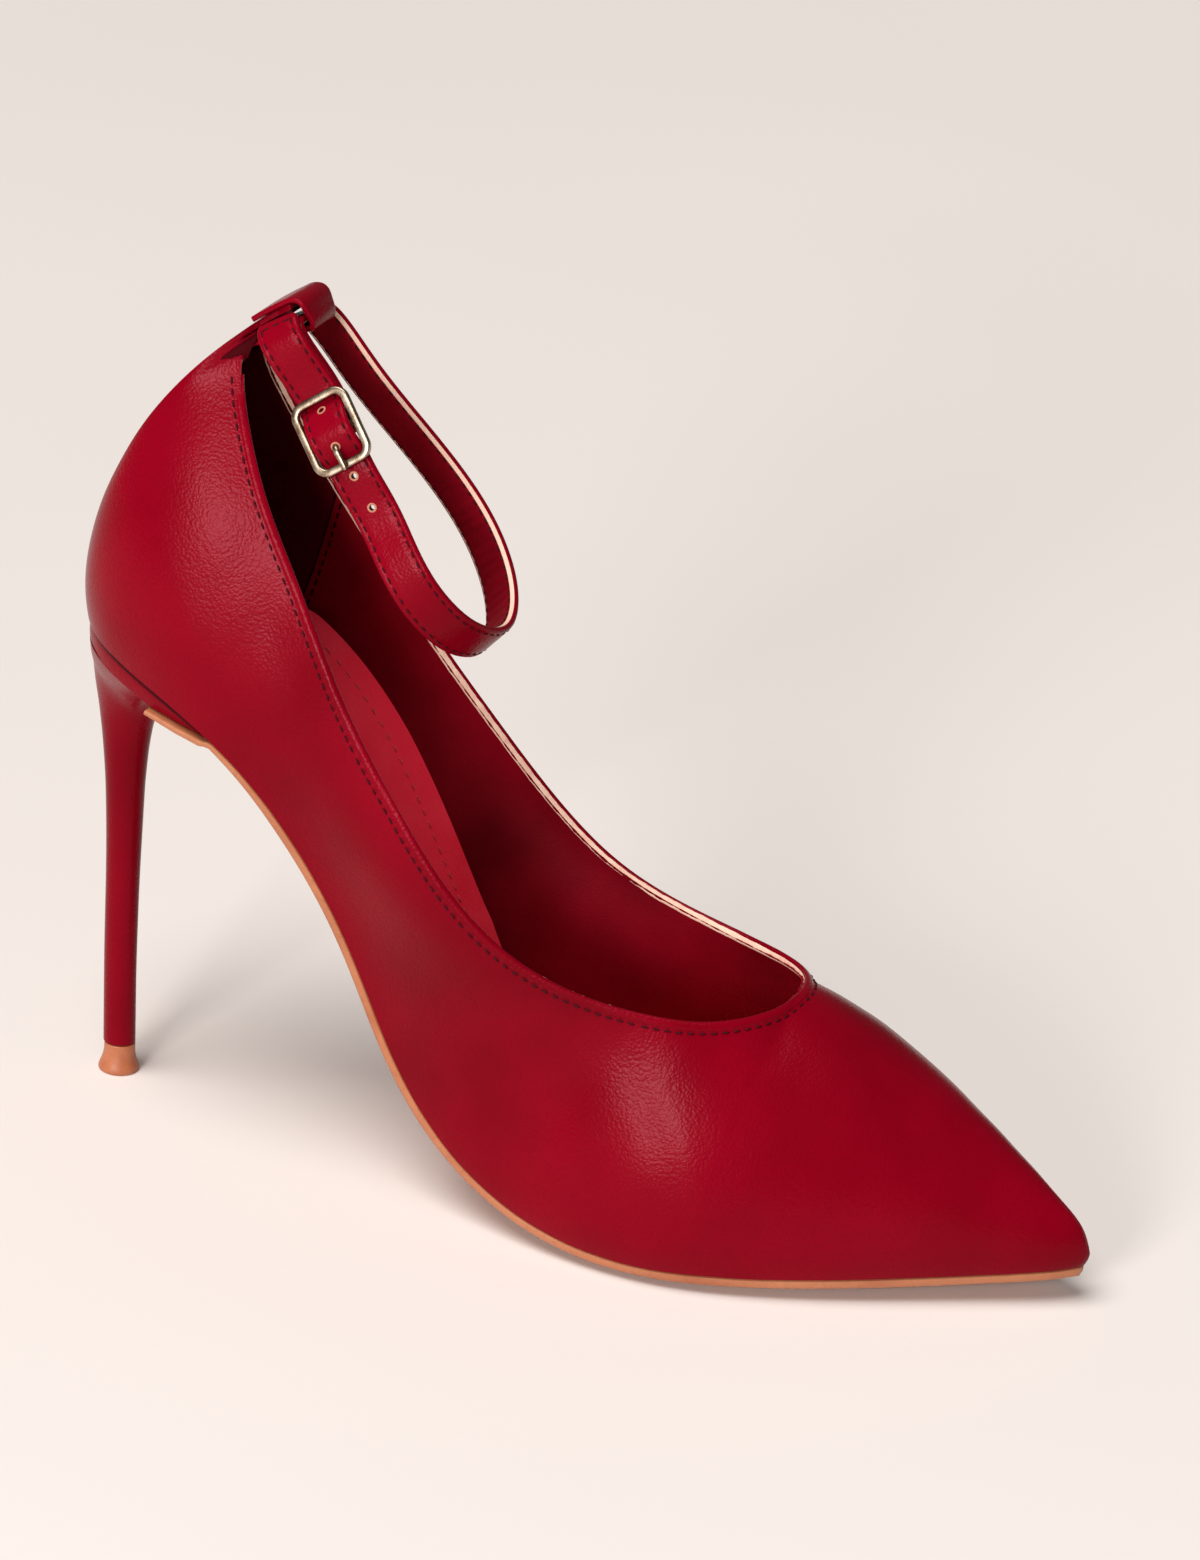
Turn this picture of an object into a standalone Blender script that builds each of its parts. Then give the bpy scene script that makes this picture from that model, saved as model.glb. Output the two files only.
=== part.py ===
import math

import bmesh
import bpy
import numpy as np
from mathutils import Vector

# Right shoe, toe along +X, buckle on the outer side at -Y, floor at z = 0.
# All sizes below are millimetres, the objects are made in metres.

SHOE_ARC = 255.0          # heel back to toe tip along the bottom
SEAT_BACK_X = -10.4       # heel back, measured from the centre of the heel tip
BALL_LIFT = 4.0           # lowest edge of the upper over the floor
WALL = 1.8                # upper leather with its lining
GAP = 0.3                 # space left between neighbouring pieces

INSOLE_THICK = 2.2
INSOLE_END = 240.0        # the insole stops short of the closed toe
# Rise of the insole's two edges up the wall. Columns: arc, rise.
INSOLE_RIM = [(0, 0), (4, 0), (16, 6), (35, 10.5), (60, 11), (100, 10.5), (118, 8), (150, 1), (165, 0)]
OUTSOLE_THICK = 2.0
OUTSOLE_START = 24.0      # the outsole begins at the breast of the heel
OUTSOLE_FULL = 60.0       # from here on the outsole has its full thickness
BREAST_THICK = 1.2        # the outsole is thinner there
# Bulge of the outsole's underside. Columns: arc, depth.
OUTSOLE_CROWN = [(24, 0.2), (60, 0.3), (110, 0.6), (140, 1.6), (160, 2.2), (195, 2.3), (225, 1.2), (255, 0.2)]
SEAT_INSET = 0.9          # the heel stays inside the foot of the upper
SEAT_END = 37.5           # the heel cup runs out here

STRAP_WIDTH = 9.0
STRAP_THICK = 1.8
STRAP_LEAN = 10.0         # degrees the strap leans in towards the ankle
BUCKLE_LENGTH = 15.2
BUCKLE_WIDTH = 12.4
BUCKLE_BAR = 1.5
BUCKLE_AT = 29.0          # strap length from the back centre to the centre bar
CENTRE_BAR_DROP = 1.1
STRAP_END = 6.6           # strap length from the back centre to the loose square end
PRONG_AT = 3.0            # the prong comes up this far in front of the centre bar
PRONG_THICK = 0.9
PRONG_HOLE = 1.8

TAB_HALF = 5.5            # half width of the tab behind the ankle

# Slope of the bottom. Columns: arc from the heel back, slope in degrees.
BOTTOM = [
    (0, -17.0), (25, -24.2), (50, -45.2), (75, -57.4), (100, -60.3),
    (125, -40.7), (150, -15.7), (170, -1.6), (200, 2.5), (255, 5.1),
]

# Outer side of the sole outline. Columns: arc, distance from the middle line.
OUTER_SIDE = [
    (0, 0), (1.6, 7.5), (8, 15.3), (18, 20.2), (32, 22.8), (50, 22.2),
    (70, 20.4), (95, 19.8), (120, 23.7), (145, 29.7), (165, 33.4),
    (180, 33.4), (195, 29.8), (210, 23.6), (225, 16.0), (238, 9.0),
    (248, 3.6), (253.2, 0.0), (255, -2.5),
]

# Inner side of the sole outline. Columns: arc, distance from the middle line.
INNER_SIDE = [
    (0, 0), (1.6, 7.5), (8, 15.3), (18, 20.0), (32, 22.0), (50, 21.0),
    (70, 18.8), (95, 17.6), (120, 21.0), (145, 28.0), (162, 33.8),
    (176, 36.0), (190, 34.4), (204, 29.6), (218, 23.0), (231, 16.4),
    (242, 10.8), (249.5, 7.2), (253.6, 4.8), (255, 2.5),
]

# Top edge from the foot of the tab to the throat. Columns: x, half width, z.
TOP_EDGE = [
    (22.6, 5.6, 166.4), (20.6, 6.0, 161.8), (21.0, 7.9, 155.0),
    (24.0, 10.9, 147.0), (30.0, 14.8, 135.0), (39.1, 18.3, 120.5),
    (51.5, 23.0, 101.0), (65.6, 26.4, 83.1), (79.5, 28.2, 68.0),
    (93.5, 27.6, 58.0), (107.5, 25.9, 53.2), (119.0, 23.4, 51.6),
    (128.5, 19.8, 51.2), (136.0, 14.2, 51.9), (140.4, 7.6, 52.7), (141.7, 0.0, 53.2),
]
TAB_TOP = (30.1, 172.3)
THROAT_SPOT = 0.7         # share of the stations behind the throat
VAMP_FOOT = (5.0, 18.5)   # roundness of the vamp at the sole, out and up
VAMP_TOP = 17.5           # roundness of the vamp at its middle line
CUT_FROM, CUT_FULL = 95, 150
INNER_SHARE = 0.83        # the lining ends behind the toe tip

# Middle line of the vamp from the throat to the toe. Columns: x, z.
RIDGE = [
    (141.7, 53.2), (155, 48.4), (168, 41.4), (180, 33.4), (190, 26.0),
    (197, 20.2), (201.5, 15.6), (203.4, 11.4),
]

# Which point of the sole outline stands under which point of the top edge.
# Columns: length along the outline, length along the top edge.
BACK_MATCH = [(0, 0), (3, 5.5), (7.5, 12), (12, 19), (17, 27), (24, 36.5), (32, 50), (42, 64)]
# Columns: x on the top edge, arc on the bottom.
SIDE_MATCH = [
    (51.5, 48), (65.6, 66), (79.5, 83), (93.5, 101), (107.5, 125),
    (119, 150), (128.5, 166), (136, 177), (140.4, 185), (141.7, 192),
]

# Handles that round the wall. Columns: arc, out and up at the sole,
# out and down at the top.
WALL_SHAPE = [
    (0, 8.0, 14, 21.0, 24.0), (20, 3.7, 12.7, 11.7, 25.6), (45, 1.8, 12.3, 1.7, 10.4),
    (80, 2.0, 11, 2.0, 12), (110, 3.0, 12, 3.0, 12), (125, 3.5, 12, 4.5, 11.5),
    (155, 4.5, 14, 8.5, 9.5), (174, 5.0, 17, 12.5, 6.5), (184, 5.0, 18, 15.5, 3),
    (192, 5.0, 18.5, 17.5, 0), (215, 4.2, 15, 13.0, 0), (238, 2.6, 8.5, 5.6, 0),
    (246, 1.9, 6, 3.4, 0), (250, 1.5, 4.4, 2.3, 0), (253.5, 1.1, 2.4, 1.3, 0),
    (255, 0.9, 1.4, 0.7, 0),
]

# Heel below its cup. Columns: back x, back z, front x, front z, half width, roundness.
HEEL_ROWS = [
    (-10.0, 97.6, 9.9, 89.9, 17.4, 0.15), (-10.0, 94.6, 6.6, 86.2, 12.9, 0.5),
    (-9.7, 91.2, 4.7, 82.7, 9.2, 0.8), (-9.3, 86.4, 3.4, 79.2, 6.7, 1.0),
    (-8.3, 79.8, 2.6, 75.0, 5.1, 1.0), (-7.2, 72.2, 2.1, 69.8, 4.3, 1.0),
    (-6.1, 62.0, 1.8, 61.4, 3.8, 1.0), (-5.2, 46.0, 1.8, 46.0, 3.4, 1.0),
    (-4.6, 27.0, 2.1, 27.0, 3.2, 1.0), (-3.7, 6.4, 2.9, 6.4, 3.1, 1.0),
]

# Heel tip. Columns: z, radius.
TIP_ROWS = [(6.1, 3.1), (4.2, 3.15), (2.4, 3.5), (1.0, 4.0), (0.4, 4.1), (0.0, 3.8)]
TIP_CENTRE = (-0.2, -0.1)

# Strap loop seen square on, its outer and its inner side. Columns: distance from the back, half width.
STRAP_OUTER = [(0, 0), (0.4, 6.8), (12, 7.4), (24, 10.0), (40, 13.6), (54, 16.6), (65, 12.4),
               (69.6, 6.0), (71, 0)]
STRAP_INNER = [(0.4, 6.8), (12, 10.6), (24, 13.2), (40, 17.6), (54, 18.0), (65, 12.4), (69.6, 6.0)]
STRAP_BACK = (28.0, 166.2)
STRAP_SLOPE = -51.0       # degrees, the plane of the loop falls to the front

COLOURS = {
    "upper": (0.42, 0.012, 0.03),
    "insole": (0.50, 0.02, 0.04),
    "outsole": (0.47, 0.22, 0.10),
    "heel": (0.40, 0.012, 0.03),
    "heel_tip": (0.45, 0.20, 0.09),
    "ankle_strap": (0.42, 0.012, 0.03),
    "back_loop": (0.42, 0.012, 0.03),
    "buckle_frame": (0.45, 0.38, 0.30),
    "buckle_prong": (0.45, 0.38, 0.30),
}


def spline(xs, ys, at):
    """Natural cubic curve through the given points."""
    xs = np.asarray(xs, float)
    ys = np.asarray(ys, float)
    at = np.asarray(at, float)
    n = len(xs)
    h = np.diff(xs)
    a = np.zeros((n, n))
    r = np.zeros(n)
    a[0, 0] = a[-1, -1] = 1.0
    for i in range(1, n - 1):
        a[i, i - 1] = h[i - 1]
        a[i, i] = 2 * (h[i - 1] + h[i])
        a[i, i + 1] = h[i]
        r[i] = 6 * ((ys[i + 1] - ys[i]) / h[i] - (ys[i] - ys[i - 1]) / h[i - 1])
    m = np.linalg.solve(a, r)
    k = np.clip(np.searchsorted(xs, at) - 1, 0, n - 2)
    u = (xs[k + 1] - at) / h[k]
    v = 1 - u
    return u * ys[k] + v * ys[k + 1] + ((u**3 - u) * m[k] + (v**3 - v) * m[k + 1]) * h[k]**2 / 6


def lengths(line):
    return np.concatenate([[0], np.cumsum(np.linalg.norm(np.diff(line, axis=0), axis=1))])


def curve(points, count):
    """Smooth curve through points, evenly spread in count samples."""
    p = np.asarray(points, float)
    c = lengths(p)
    t = np.linspace(0, c[-1], count)
    return np.stack([spline(c, p[:, k], t) for k in range(p.shape[1])], 1)


def at_length(line, marks, at):
    return np.stack([np.interp(at, marks, line[:, k]) for k in range(line.shape[1])], -1)


def unit(v):
    v = np.asarray(v, float)
    return v / np.maximum(np.linalg.norm(v, axis=-1, keepdims=True), 1e-12)


def ease(table, at, columns):
    """Monotone smooth reading of a table with its first column as the key."""
    t = np.asarray(table, float)
    at = np.clip(at, t[0, 0], t[-1, 0])
    k = np.clip(np.searchsorted(t[:, 0], at) - 1, 0, len(t) - 2)
    h = t[k + 1, 0] - t[k, 0]
    f = (at - t[k, 0]) / h
    found = []
    for c in columns:
        d = np.diff(t[:, c]) / np.diff(t[:, 0])
        m = np.zeros(len(t))
        same = d[1:] * d[:-1] > 0
        m[1:-1][same] = 2 * d[1:][same] * d[:-1][same] / (d[1:][same] + d[:-1][same])
        m[0], m[-1] = d[0], d[-1]
        y0, y1 = t[k, c], t[k + 1, c]
        found.append((2 * f**3 - 3 * f**2 + 1) * y0 + (f**3 - 2 * f**2 + f) * h * m[k]
                     + (3 * f**2 - 2 * f**3) * y1 + (f**3 - f**2) * h * m[k + 1])
    return np.stack(found, -1)


# Bottom line of the last, stepped out once for all pieces.
arc_grid = np.linspace(0, SHOE_ARC, 511)
slope_grid = np.radians(spline([r[0] for r in BOTTOM], [r[1] for r in BOTTOM], arc_grid))
step = np.diff(arc_grid)
x_grid = SEAT_BACK_X + np.concatenate(
    [[0], np.cumsum((np.cos(slope_grid[1:]) + np.cos(slope_grid[:-1])) / 2 * step)])
z_grid = np.concatenate([[0], np.cumsum((np.sin(slope_grid[1:]) + np.sin(slope_grid[:-1])) / 2 * step)])
z_grid = z_grid - z_grid.min() + BALL_LIFT


def bottom(arc):
    """Position and slope of the bottom line; it runs straight on past its ends."""
    arc = np.asarray(arc, float)
    inside = np.clip(arc, 0, SHOE_ARC)
    slope = np.interp(inside, arc_grid, slope_grid)
    over = arc - inside
    x = np.interp(inside, arc_grid, x_grid) + over * np.cos(slope)
    z = np.interp(inside, arc_grid, z_grid) + over * np.sin(slope)
    return x, z, slope


def on_bottom(plan, lift):
    """Points given as arc and side, raised square to the bottom."""
    x, z, slope = bottom(plan[..., 0])
    return np.stack([x - np.sin(slope) * lift, plan[..., 1], z + np.cos(slope) * lift], -1)


def side_outline(table, side):
    """One half of the sole outline from heel back to toe tip, with outward normals."""
    rows = [(r[0], r[1]) for r in table]
    tip = rows[-1][1]
    beyond = [(r[0], 2 * tip - r[1]) for r in rows[-2:-4:-1]]
    line = curve([(r[0], -r[1]) for r in rows[3:0:-1]] + rows + beyond, 1800)
    first = np.argmin(np.abs(line[:400, 1]))
    last = 1000 + np.argmin(np.abs(line[1000:, 1] - tip) + (line[1000:, 0] < 250) * 99)
    line = line[first:last + 1]
    line[0] = (0, 0)
    line[-1] = rows[-1]
    way = unit(np.gradient(line, axis=0))
    out = np.stack([-way[:, 1], way[:, 0]], 1)
    out[0] = (-1, 0)
    out[-1] = (1, 0)
    return line * (1, side), out * (1, side)


def top_line():
    """Top edge of one side, from the middle of the tab to the throat."""
    mirror = [(x, -w, z) for x, w, z in TOP_EDGE[-2:-5:-1]]
    body = curve(TOP_EDGE + mirror, 1600)
    body = body[:np.argmax((body[:, 1] < 0) & (body[:, 0] > 120))]
    body[-1, 1] = 0
    tab = [(TAB_TOP[0], 0, TAB_TOP[1]), (TAB_TOP[0], TAB_HALF, TAB_TOP[1])]
    return np.vstack([tab, body])


def wall_frame(table, side, spots):
    """Four control points of the wall at each spot, spots run from 0 to 1."""
    line, out = side_outline(table, side)
    marks = lengths(line)
    top = top_line()
    top_marks = lengths(top)
    match = list(BACK_MATCH)
    for x, arc in SIDE_MATCH:
        k = np.argmin(np.abs(top[400:, 0] - x)) + 400
        j = np.argmin(np.abs(line[:, 0] - arc))
        match.append((marks[j], top_marks[k]))
    match = np.array(match)
    spots = np.asarray(spots, float)
    throat = match[-1, 0]
    g = np.clip((spots - THROAT_SPOT) / (1 - THROAT_SPOT), 0, 1)
    at = np.minimum(spots / THROAT_SPOT, 1) * throat + g * (marks[-1] - throat)
    plan = at_length(line, marks, at)
    normal = unit(at_length(out, marks, at))
    slope = bottom(plan[:, 0])[2]
    ahead = np.stack([np.cos(slope), 0 * slope, np.sin(slope)], 1)
    up = np.stack([-np.sin(slope), 0 * slope, np.cos(slope)], 1)
    away = normal[:, :1] * ahead + normal[:, 1:] * np.array([0, 1.0, 0])
    foot = on_bottom(plan, 0)
    edge = at_length(top, top_marks, np.interp(at, match[:, 0], match[:, 1]))
    vamp = spots >= THROAT_SPOT
    ridge = curve(RIDGE, 400)
    ridge_marks = lengths(ridge)
    along = at_length(ridge, ridge_marks, g[vamp] * ridge_marks[-1])
    toe_shift = np.interp(along[:, 0], [RIDGE[0][0], RIDGE[-1][0]], [0, 2.5])
    edge[vamp] = np.stack([along[:, 0], toe_shift * side, along[:, 1]], 1)
    edge[:, 1] *= side
    shape = ease(WALL_SHAPE, plan[:, 0], (1, 2, 3, 4))
    turn = np.where(vamp, g**6, 0)[:, None]
    across = np.array([0, side, 0])
    sideways = np.where(vamp[:, None], across * (1 - turn) + ahead * turn, away)
    low = foot + shape[:, 0:1] * away + shape[:, 1:2] * up
    high = edge + shape[:, 2:3] * sideways - shape[:, 3:4] * up
    # Towards the throat the wall is the vamp's own section cut off at the top edge.
    width = np.abs(foot[:, 1])
    swell = (width / np.interp(throat, marks, np.abs(line[:, 1])))[:, None]
    full_low = foot + VAMP_FOOT[0] * swell * away + VAMP_FOOT[1] * up
    full_side = VAMP_TOP * swell[:, 0]
    least, most = np.full(len(at), 0.2), np.ones(len(at))
    for _ in range(40):
        t = (least + most) / 2
        y = (1 - t)**3 * width + 3 * (1 - t)**2 * t * np.abs(full_low[:, 1])
        y = y + 3 * (1 - t) * t * t * full_side
        wide = y > np.abs(edge[:, 1])
        least, most = np.where(wide, t, least), np.where(wide, most, t)
    t = t[:, None]
    reach = 3 * (1 - t) * t * t + t**3
    ridge_at = (edge - (1 - t)**3 * foot - 3 * (1 - t)**2 * t * full_low) / reach
    full_high = ridge_at * (1, 0, 1) + full_side[:, None] * across
    cut_low = foot + (full_low - foot) * t
    cut_mid = full_low + (full_high - full_low) * t
    cut_high = cut_low + (cut_mid - cut_low) * t
    blend = np.clip((plan[:, 0] - CUT_FROM) / (CUT_FULL - CUT_FROM), 0, 1)
    blend = np.where(vamp, 0, blend * blend * (3 - 2 * blend))[:, None]
    low = low * (1 - blend) + cut_low * blend
    high = high * (1 - blend) + cut_high * blend
    return foot, low, high, edge


def wall_points(table, side, spots, heights):
    a, b, c, d = [q[None] for q in wall_frame(table, side, np.asarray(spots, float))]
    w = np.asarray(heights, float)[:, None, None]
    return (1 - w)**3 * a + 3 * (1 - w)**2 * w * b + 3 * (1 - w) * w * w * c + w**3 * d


def wall_normals(table, side, spots, heights):
    """Outward normals from close neighbours on the wall."""
    spots = np.asarray(spots, float)
    heights = np.asarray(heights, float)
    e = 0.002
    ahead = wall_points(table, side, np.clip(spots + e, 0, 1), heights)
    behind = wall_points(table, side, np.clip(spots - e, 0, 1), heights)
    over = wall_points(table, side, spots, np.clip(heights + e, 0, 1))
    under = wall_points(table, side, spots, np.clip(heights - e, 0, 1))
    n = unit(np.cross(over - under, ahead - behind) * side)
    rise = (over - under)[:, 0]
    if spots[0] == 0:
        n[:, 0] = unit(np.stack([-rise[:, 2], 0 * rise[:, 0], rise[:, 0]], 1))
    return n


def make_object(name, verts, faces):
    mesh = bpy.data.meshes.new(name)
    mesh.from_pydata([tuple(v * 0.001) for v in np.asarray(verts, float)], [], [tuple(f) for f in faces])
    mesh.validate()
    bm = bmesh.new()
    bm.from_mesh(mesh)
    bmesh.ops.remove_doubles(bm, verts=bm.verts, dist=0.000004)
    bmesh.ops.dissolve_degenerate(bm, edges=bm.edges, dist=0.000004)
    bmesh.ops.recalc_face_normals(bm, faces=bm.faces)
    bm.to_mesh(mesh)
    bm.free()
    made = bpy.data.objects.new(name, mesh)
    bpy.context.scene.collection.objects.link(made)
    paint = bpy.data.materials.new(name)
    paint.use_nodes = True
    base = paint.node_tree.nodes["Principled BSDF"]
    base.inputs["Base Color"].default_value = (*COLOURS[name], 1)
    base.inputs["Roughness"].default_value = 0.45
    if name.startswith("buckle"):
        base.inputs["Metallic"].default_value = 1.0
    mesh.materials.append(paint)
    return made


def grid_faces(rows, columns, start=0, flip=False):
    faces = []
    for i in range(rows - 1):
        for j in range(columns - 1):
            a = start + i * columns + j
            quad = (a, a + 1, a + columns + 1, a + columns)
            faces.append(quad[::-1] if flip else quad)
    return faces


def make_upper():
    """Hollow shell: both walls, joined at the heel back and along the vamp."""
    open_count, closed_count = 36, 12
    open_spots = THROAT_SPOT * np.interp(
        np.linspace(0, 1, open_count), [0, 0.28, 0.72, 1], [0, 0.16, 0.80, 1])
    toe_spots = THROAT_SPOT + (1 - THROAT_SPOT) * np.interp(
        np.linspace(0, 1, closed_count + 1)[1:], [0, 0.7, 1], [0, 0.8, 1])
    heights = np.linspace(0, 1, 12)
    spots = np.concatenate([open_spots, toe_spots])
    inner_toe = THROAT_SPOT + (toe_spots - THROAT_SPOT) * INNER_SHARE
    inner_spots = np.concatenate([open_spots, inner_toe])
    verts = []
    number = {}
    for layer, own in ((0, spots), (1, inner_spots)):
        for side, table in ((-1, OUTER_SIDE), (1, INNER_SIDE)):
            p = wall_points(table, side, own, heights)
            n = wall_normals(table, side, own, heights)
            if layer == 1:
                ahead = np.gradient(p[-1, open_count - 1:], axis=0)
                n[-1, open_count - 1:] = unit(np.stack([-ahead[:, 2], 0 * ahead[:, 0], ahead[:, 0]], 1))
                p = p - n * WALL
            for i in range(len(heights)):
                for j in range(len(own)):
                    number[layer, side, i, j] = len(verts)
                    verts.append(p[i, j])
    faces = []
    rows, columns = len(heights), len(spots)
    for layer in (0, 1):
        for side in (-1, 1):
            for i in range(rows - 1):
                for j in range(columns - 1):
                    faces.append([number[layer, side, i, j], number[layer, side, i, j + 1],
                                  number[layer, side, i + 1, j + 1], number[layer, side, i + 1, j]])
    for side in (-1, 1):
        for j in range(columns - 1):
            faces.append([number[0, side, 0, j], number[0, side, 0, j + 1],
                          number[1, side, 0, j + 1], number[1, side, 0, j]])
        for j in range(open_count - 1):
            faces.append([number[0, side, rows - 1, j], number[0, side, rows - 1, j + 1],
                          number[1, side, rows - 1, j + 1], number[1, side, rows - 1, j]])
    last = columns - 1
    for i in range(rows - 1):
        faces.append([number[1, -1, i, last], number[1, 1, i, last],
                      number[1, 1, i + 1, last], number[1, -1, i + 1, last]])
    faces.append([number[0, -1, 0, last], number[1, -1, 0, last], number[1, 1, 0, last]])
    return make_object("upper", verts, faces)


def inset(line, out, amount):
    return line - out * amount


def plate(name, amount, top_lift, under_lift, start, finish, ribs, columns, edge=0.0, crown=None, rim=None):
    """Sheet between the two sides of the sole outline, moved in by the amount."""
    halves = []
    for table, side in ((OUTER_SIDE, -1), (INNER_SIDE, 1)):
        line, out = side_outline(table, side)
        halves.append((inset(line, out, amount), inset(line, out, amount + edge)))
    (low_a, low_a2), (low_b, low_b2) = halves
    if start <= 0:
        first_a = first_b = 0
    else:
        first_a = np.argmax(low_a[:, 0] > start)
        first_b = np.argmax(low_b[:, 0] > start)
    middle = np.interp(low_a[:, 0], [0, 190, 255], [0, 0, 2.5])
    end_a = len(low_a)
    crossed = np.nonzero((low_a[:, 1] >= middle - 0.4) & (low_a[:, 0] > 200) | (low_a[:, 0] > finish))[0]
    if len(crossed):
        end_a = crossed[0]
    middle = np.interp(low_b[:, 0], [0, 190, 255], [0, 0, 2.5])
    end_b = len(low_b)
    crossed = np.nonzero((low_b[:, 1] <= middle + 0.4) & (low_b[:, 0] > 200) | (low_b[:, 0] > finish))[0]
    if len(crossed):
        end_b = crossed[0]
    share = np.interp(np.linspace(0, 1, ribs), [0, 0.12, 0.85, 1], [0, 0.06, 0.88, 1])
    if start > 0:
        share = np.interp(np.linspace(0, 1, ribs), [0, 0.85, 1], [0, 0.88, 1])

    def walk(line, first, end):
        part = line[first:end]
        m = lengths(part)
        return at_length(part, m, share * m[-1])

    top_a, top_b = walk(low_a, first_a, end_a), walk(low_b, first_b, end_b)
    under_a, under_b = walk(low_a2, first_a, end_a), walk(low_b2, first_b, end_b)
    across = np.linspace(0, 1, columns)[None, :, None]
    top_plan = top_a[:, None] * (1 - across) + top_b[:, None] * across
    under_plan = under_a[:, None] * (1 - across) + under_b[:, None] * across
    rise = top_lift(top_plan[..., 0])
    if rim is not None:
        rise = rise + rim(top_plan[..., 0]) * (2 * across[..., 0] - 1)**2
    top = on_bottom(top_plan, rise)
    lift = under_lift(under_plan[..., 0])
    if crown is not None:
        bulge = 1 - (2 * across[..., 0] - 1)**2
        lift = lift - crown(under_plan[..., 0]) * np.minimum(1, bulge * 1.6)
    under = on_bottom(under_plan, lift)
    under[..., 2] = np.maximum(under[..., 2], 0)
    n = ribs * columns
    verts = np.vstack([top.reshape(-1, 3), under.reshape(-1, 3)])
    faces = grid_faces(ribs, columns) + grid_faces(ribs, columns, n, True)
    border = [j for j in range(columns)]
    border += [i * columns + columns - 1 for i in range(1, ribs)]
    border += [(ribs - 1) * columns + j for j in range(columns - 2, -1, -1)]
    border += [i * columns for i in range(ribs - 2, 0, -1)]
    for k, a in enumerate(border):
        b = border[(k + 1) % len(border)]
        faces.append((a, b, b + n, a + n))
    return make_object(name, verts, faces)


def cup_drop(arc):
    """Depth of the heel cup's lip under the seat, thin at its front end."""
    return np.interp(arc, [0, 12, 24, 32, SEAT_END], [4.6, 4.5, 4.1, 2.5, 0.9])


def breast_drop(arc):
    """Drop of the outsole's front end under the lip of the heel cup."""
    reach = np.clip(SEAT_END + 1 - arc, 0, 1)
    return np.where(arc < SEAT_END + 1, GAP + cup_drop(arc) * reach, 0)


def outsole_crown(arc):
    """How far the middle of the outsole hangs below its edges."""
    return np.interp(arc, [row[0] for row in OUTSOLE_CROWN], [row[1] for row in OUTSOLE_CROWN])


def insole_rim(arc):
    """Rise of the insole's edges up the wall."""
    return np.interp(arc, [row[0] for row in INSOLE_RIM], [row[1] for row in INSOLE_RIM])


def outsole_thickness(arc):
    """Thickness of the outsole, less at the breast."""
    return np.interp(arc, [OUTSOLE_START, OUTSOLE_FULL], [BREAST_THICK, OUTSOLE_THICK])


def make_heel():
    """Covered heel: cup under the seat, then sections down to the thin stem."""
    count_side, count_front = 13, 6
    line_a, out_a = side_outline(OUTER_SIDE, -1)
    line_b, out_b = side_outline(INNER_SIDE, 1)
    half = []
    for line, out in ((line_a, out_a), (line_b, out_b)):
        part = (line - out * SEAT_INSET)[:np.argmax(line[:, 0] > SEAT_END)]
        m = lengths(part)
        half.append((part, m))
    share = np.linspace(0, 1, count_side)
    a = at_length(half[0][0], half[0][1], share * half[0][1][-1])
    b = at_length(half[1][0], half[1][1], share * half[1][1][-1])
    front = a[-1] + (b[-1] - a[-1]) * np.linspace(0, 1, count_front + 2)[1:-1, None]
    plan = np.vstack([a, front, b[::-1][:-1]])
    n = len(plan)
    depth = plan[:, 0] / SEAT_END
    width = plan[:, 1] / np.abs(plan[:, 1]).max()
    turn = np.concatenate([
        np.linspace(180, 55, count_side), np.linspace(55, -55, count_front + 2)[1:-1],
        np.linspace(-55, -180, count_side)[:-1]])
    round_x = 0.5 + 0.5 * np.cos(np.radians(turn))
    round_y = -np.sin(np.radians(turn))
    plan[0, 1] = 0
    tuck = plan * (1, 0.96) + np.stack([1.2 * (1 - np.clip(depth, 0, 1))**2, 0 * depth], 1)
    rings = [on_bottom(plan, -GAP), on_bottom(tuck, -GAP - cup_drop(plan[:, 0]) * 0.94)]
    for back_x, back_z, front_x, front_z, half_width, roundness in HEEL_ROWS:
        p = depth * (1 - roundness) + round_x * roundness
        q = width * (1 - roundness) + round_y * roundness
        x = back_x + (front_x - back_x) * p
        z = back_z + (front_z - back_z) * p
        rings.append(np.stack([x, half_width * q, z], 1))
    verts = np.vstack(rings)
    faces = []
    for r in range(len(rings) - 1):
        for k in range(n):
            j = (k + 1) % n
            faces.append((r * n + k, r * n + j, (r + 1) * n + j, (r + 1) * n + k))
    # The seat follows the bottom in bands from side to side.
    left = list(range(count_side))
    right = [0] + [n - k for k in range(1, count_side)]
    faces.append((left[0], left[1], right[1]))
    for k in range(1, count_side - 2):
        faces.append((left[k], left[k + 1], right[k + 1], right[k]))
    tail = list(range(count_side, count_side + count_front))
    faces.append([left[-2], left[-1]] + tail + [right[-1], right[-2]])
    faces.append([(len(rings) - 1) * n + k for k in range(n)])
    return make_object("heel", verts, faces)


def make_tip():
    count = 28
    verts = []
    for z, radius in TIP_ROWS:
        for k in range(count):
            turn = 2 * math.pi * k / count
            verts.append((TIP_CENTRE[0] + radius * math.cos(turn) * 1.02,
                          TIP_CENTRE[1] + radius * math.sin(turn), z))
    faces = []
    for r in range(len(TIP_ROWS) - 1):
        for k in range(count):
            j = (k + 1) % count
            faces.append((r * count + k, r * count + j, (r + 1) * count + j, (r + 1) * count + k))
    faces.append(list(range(count)))
    faces.append([(len(TIP_ROWS) - 1) * count + k for k in range(count)])
    return make_object("heel_tip", np.array(verts), faces)


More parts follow.
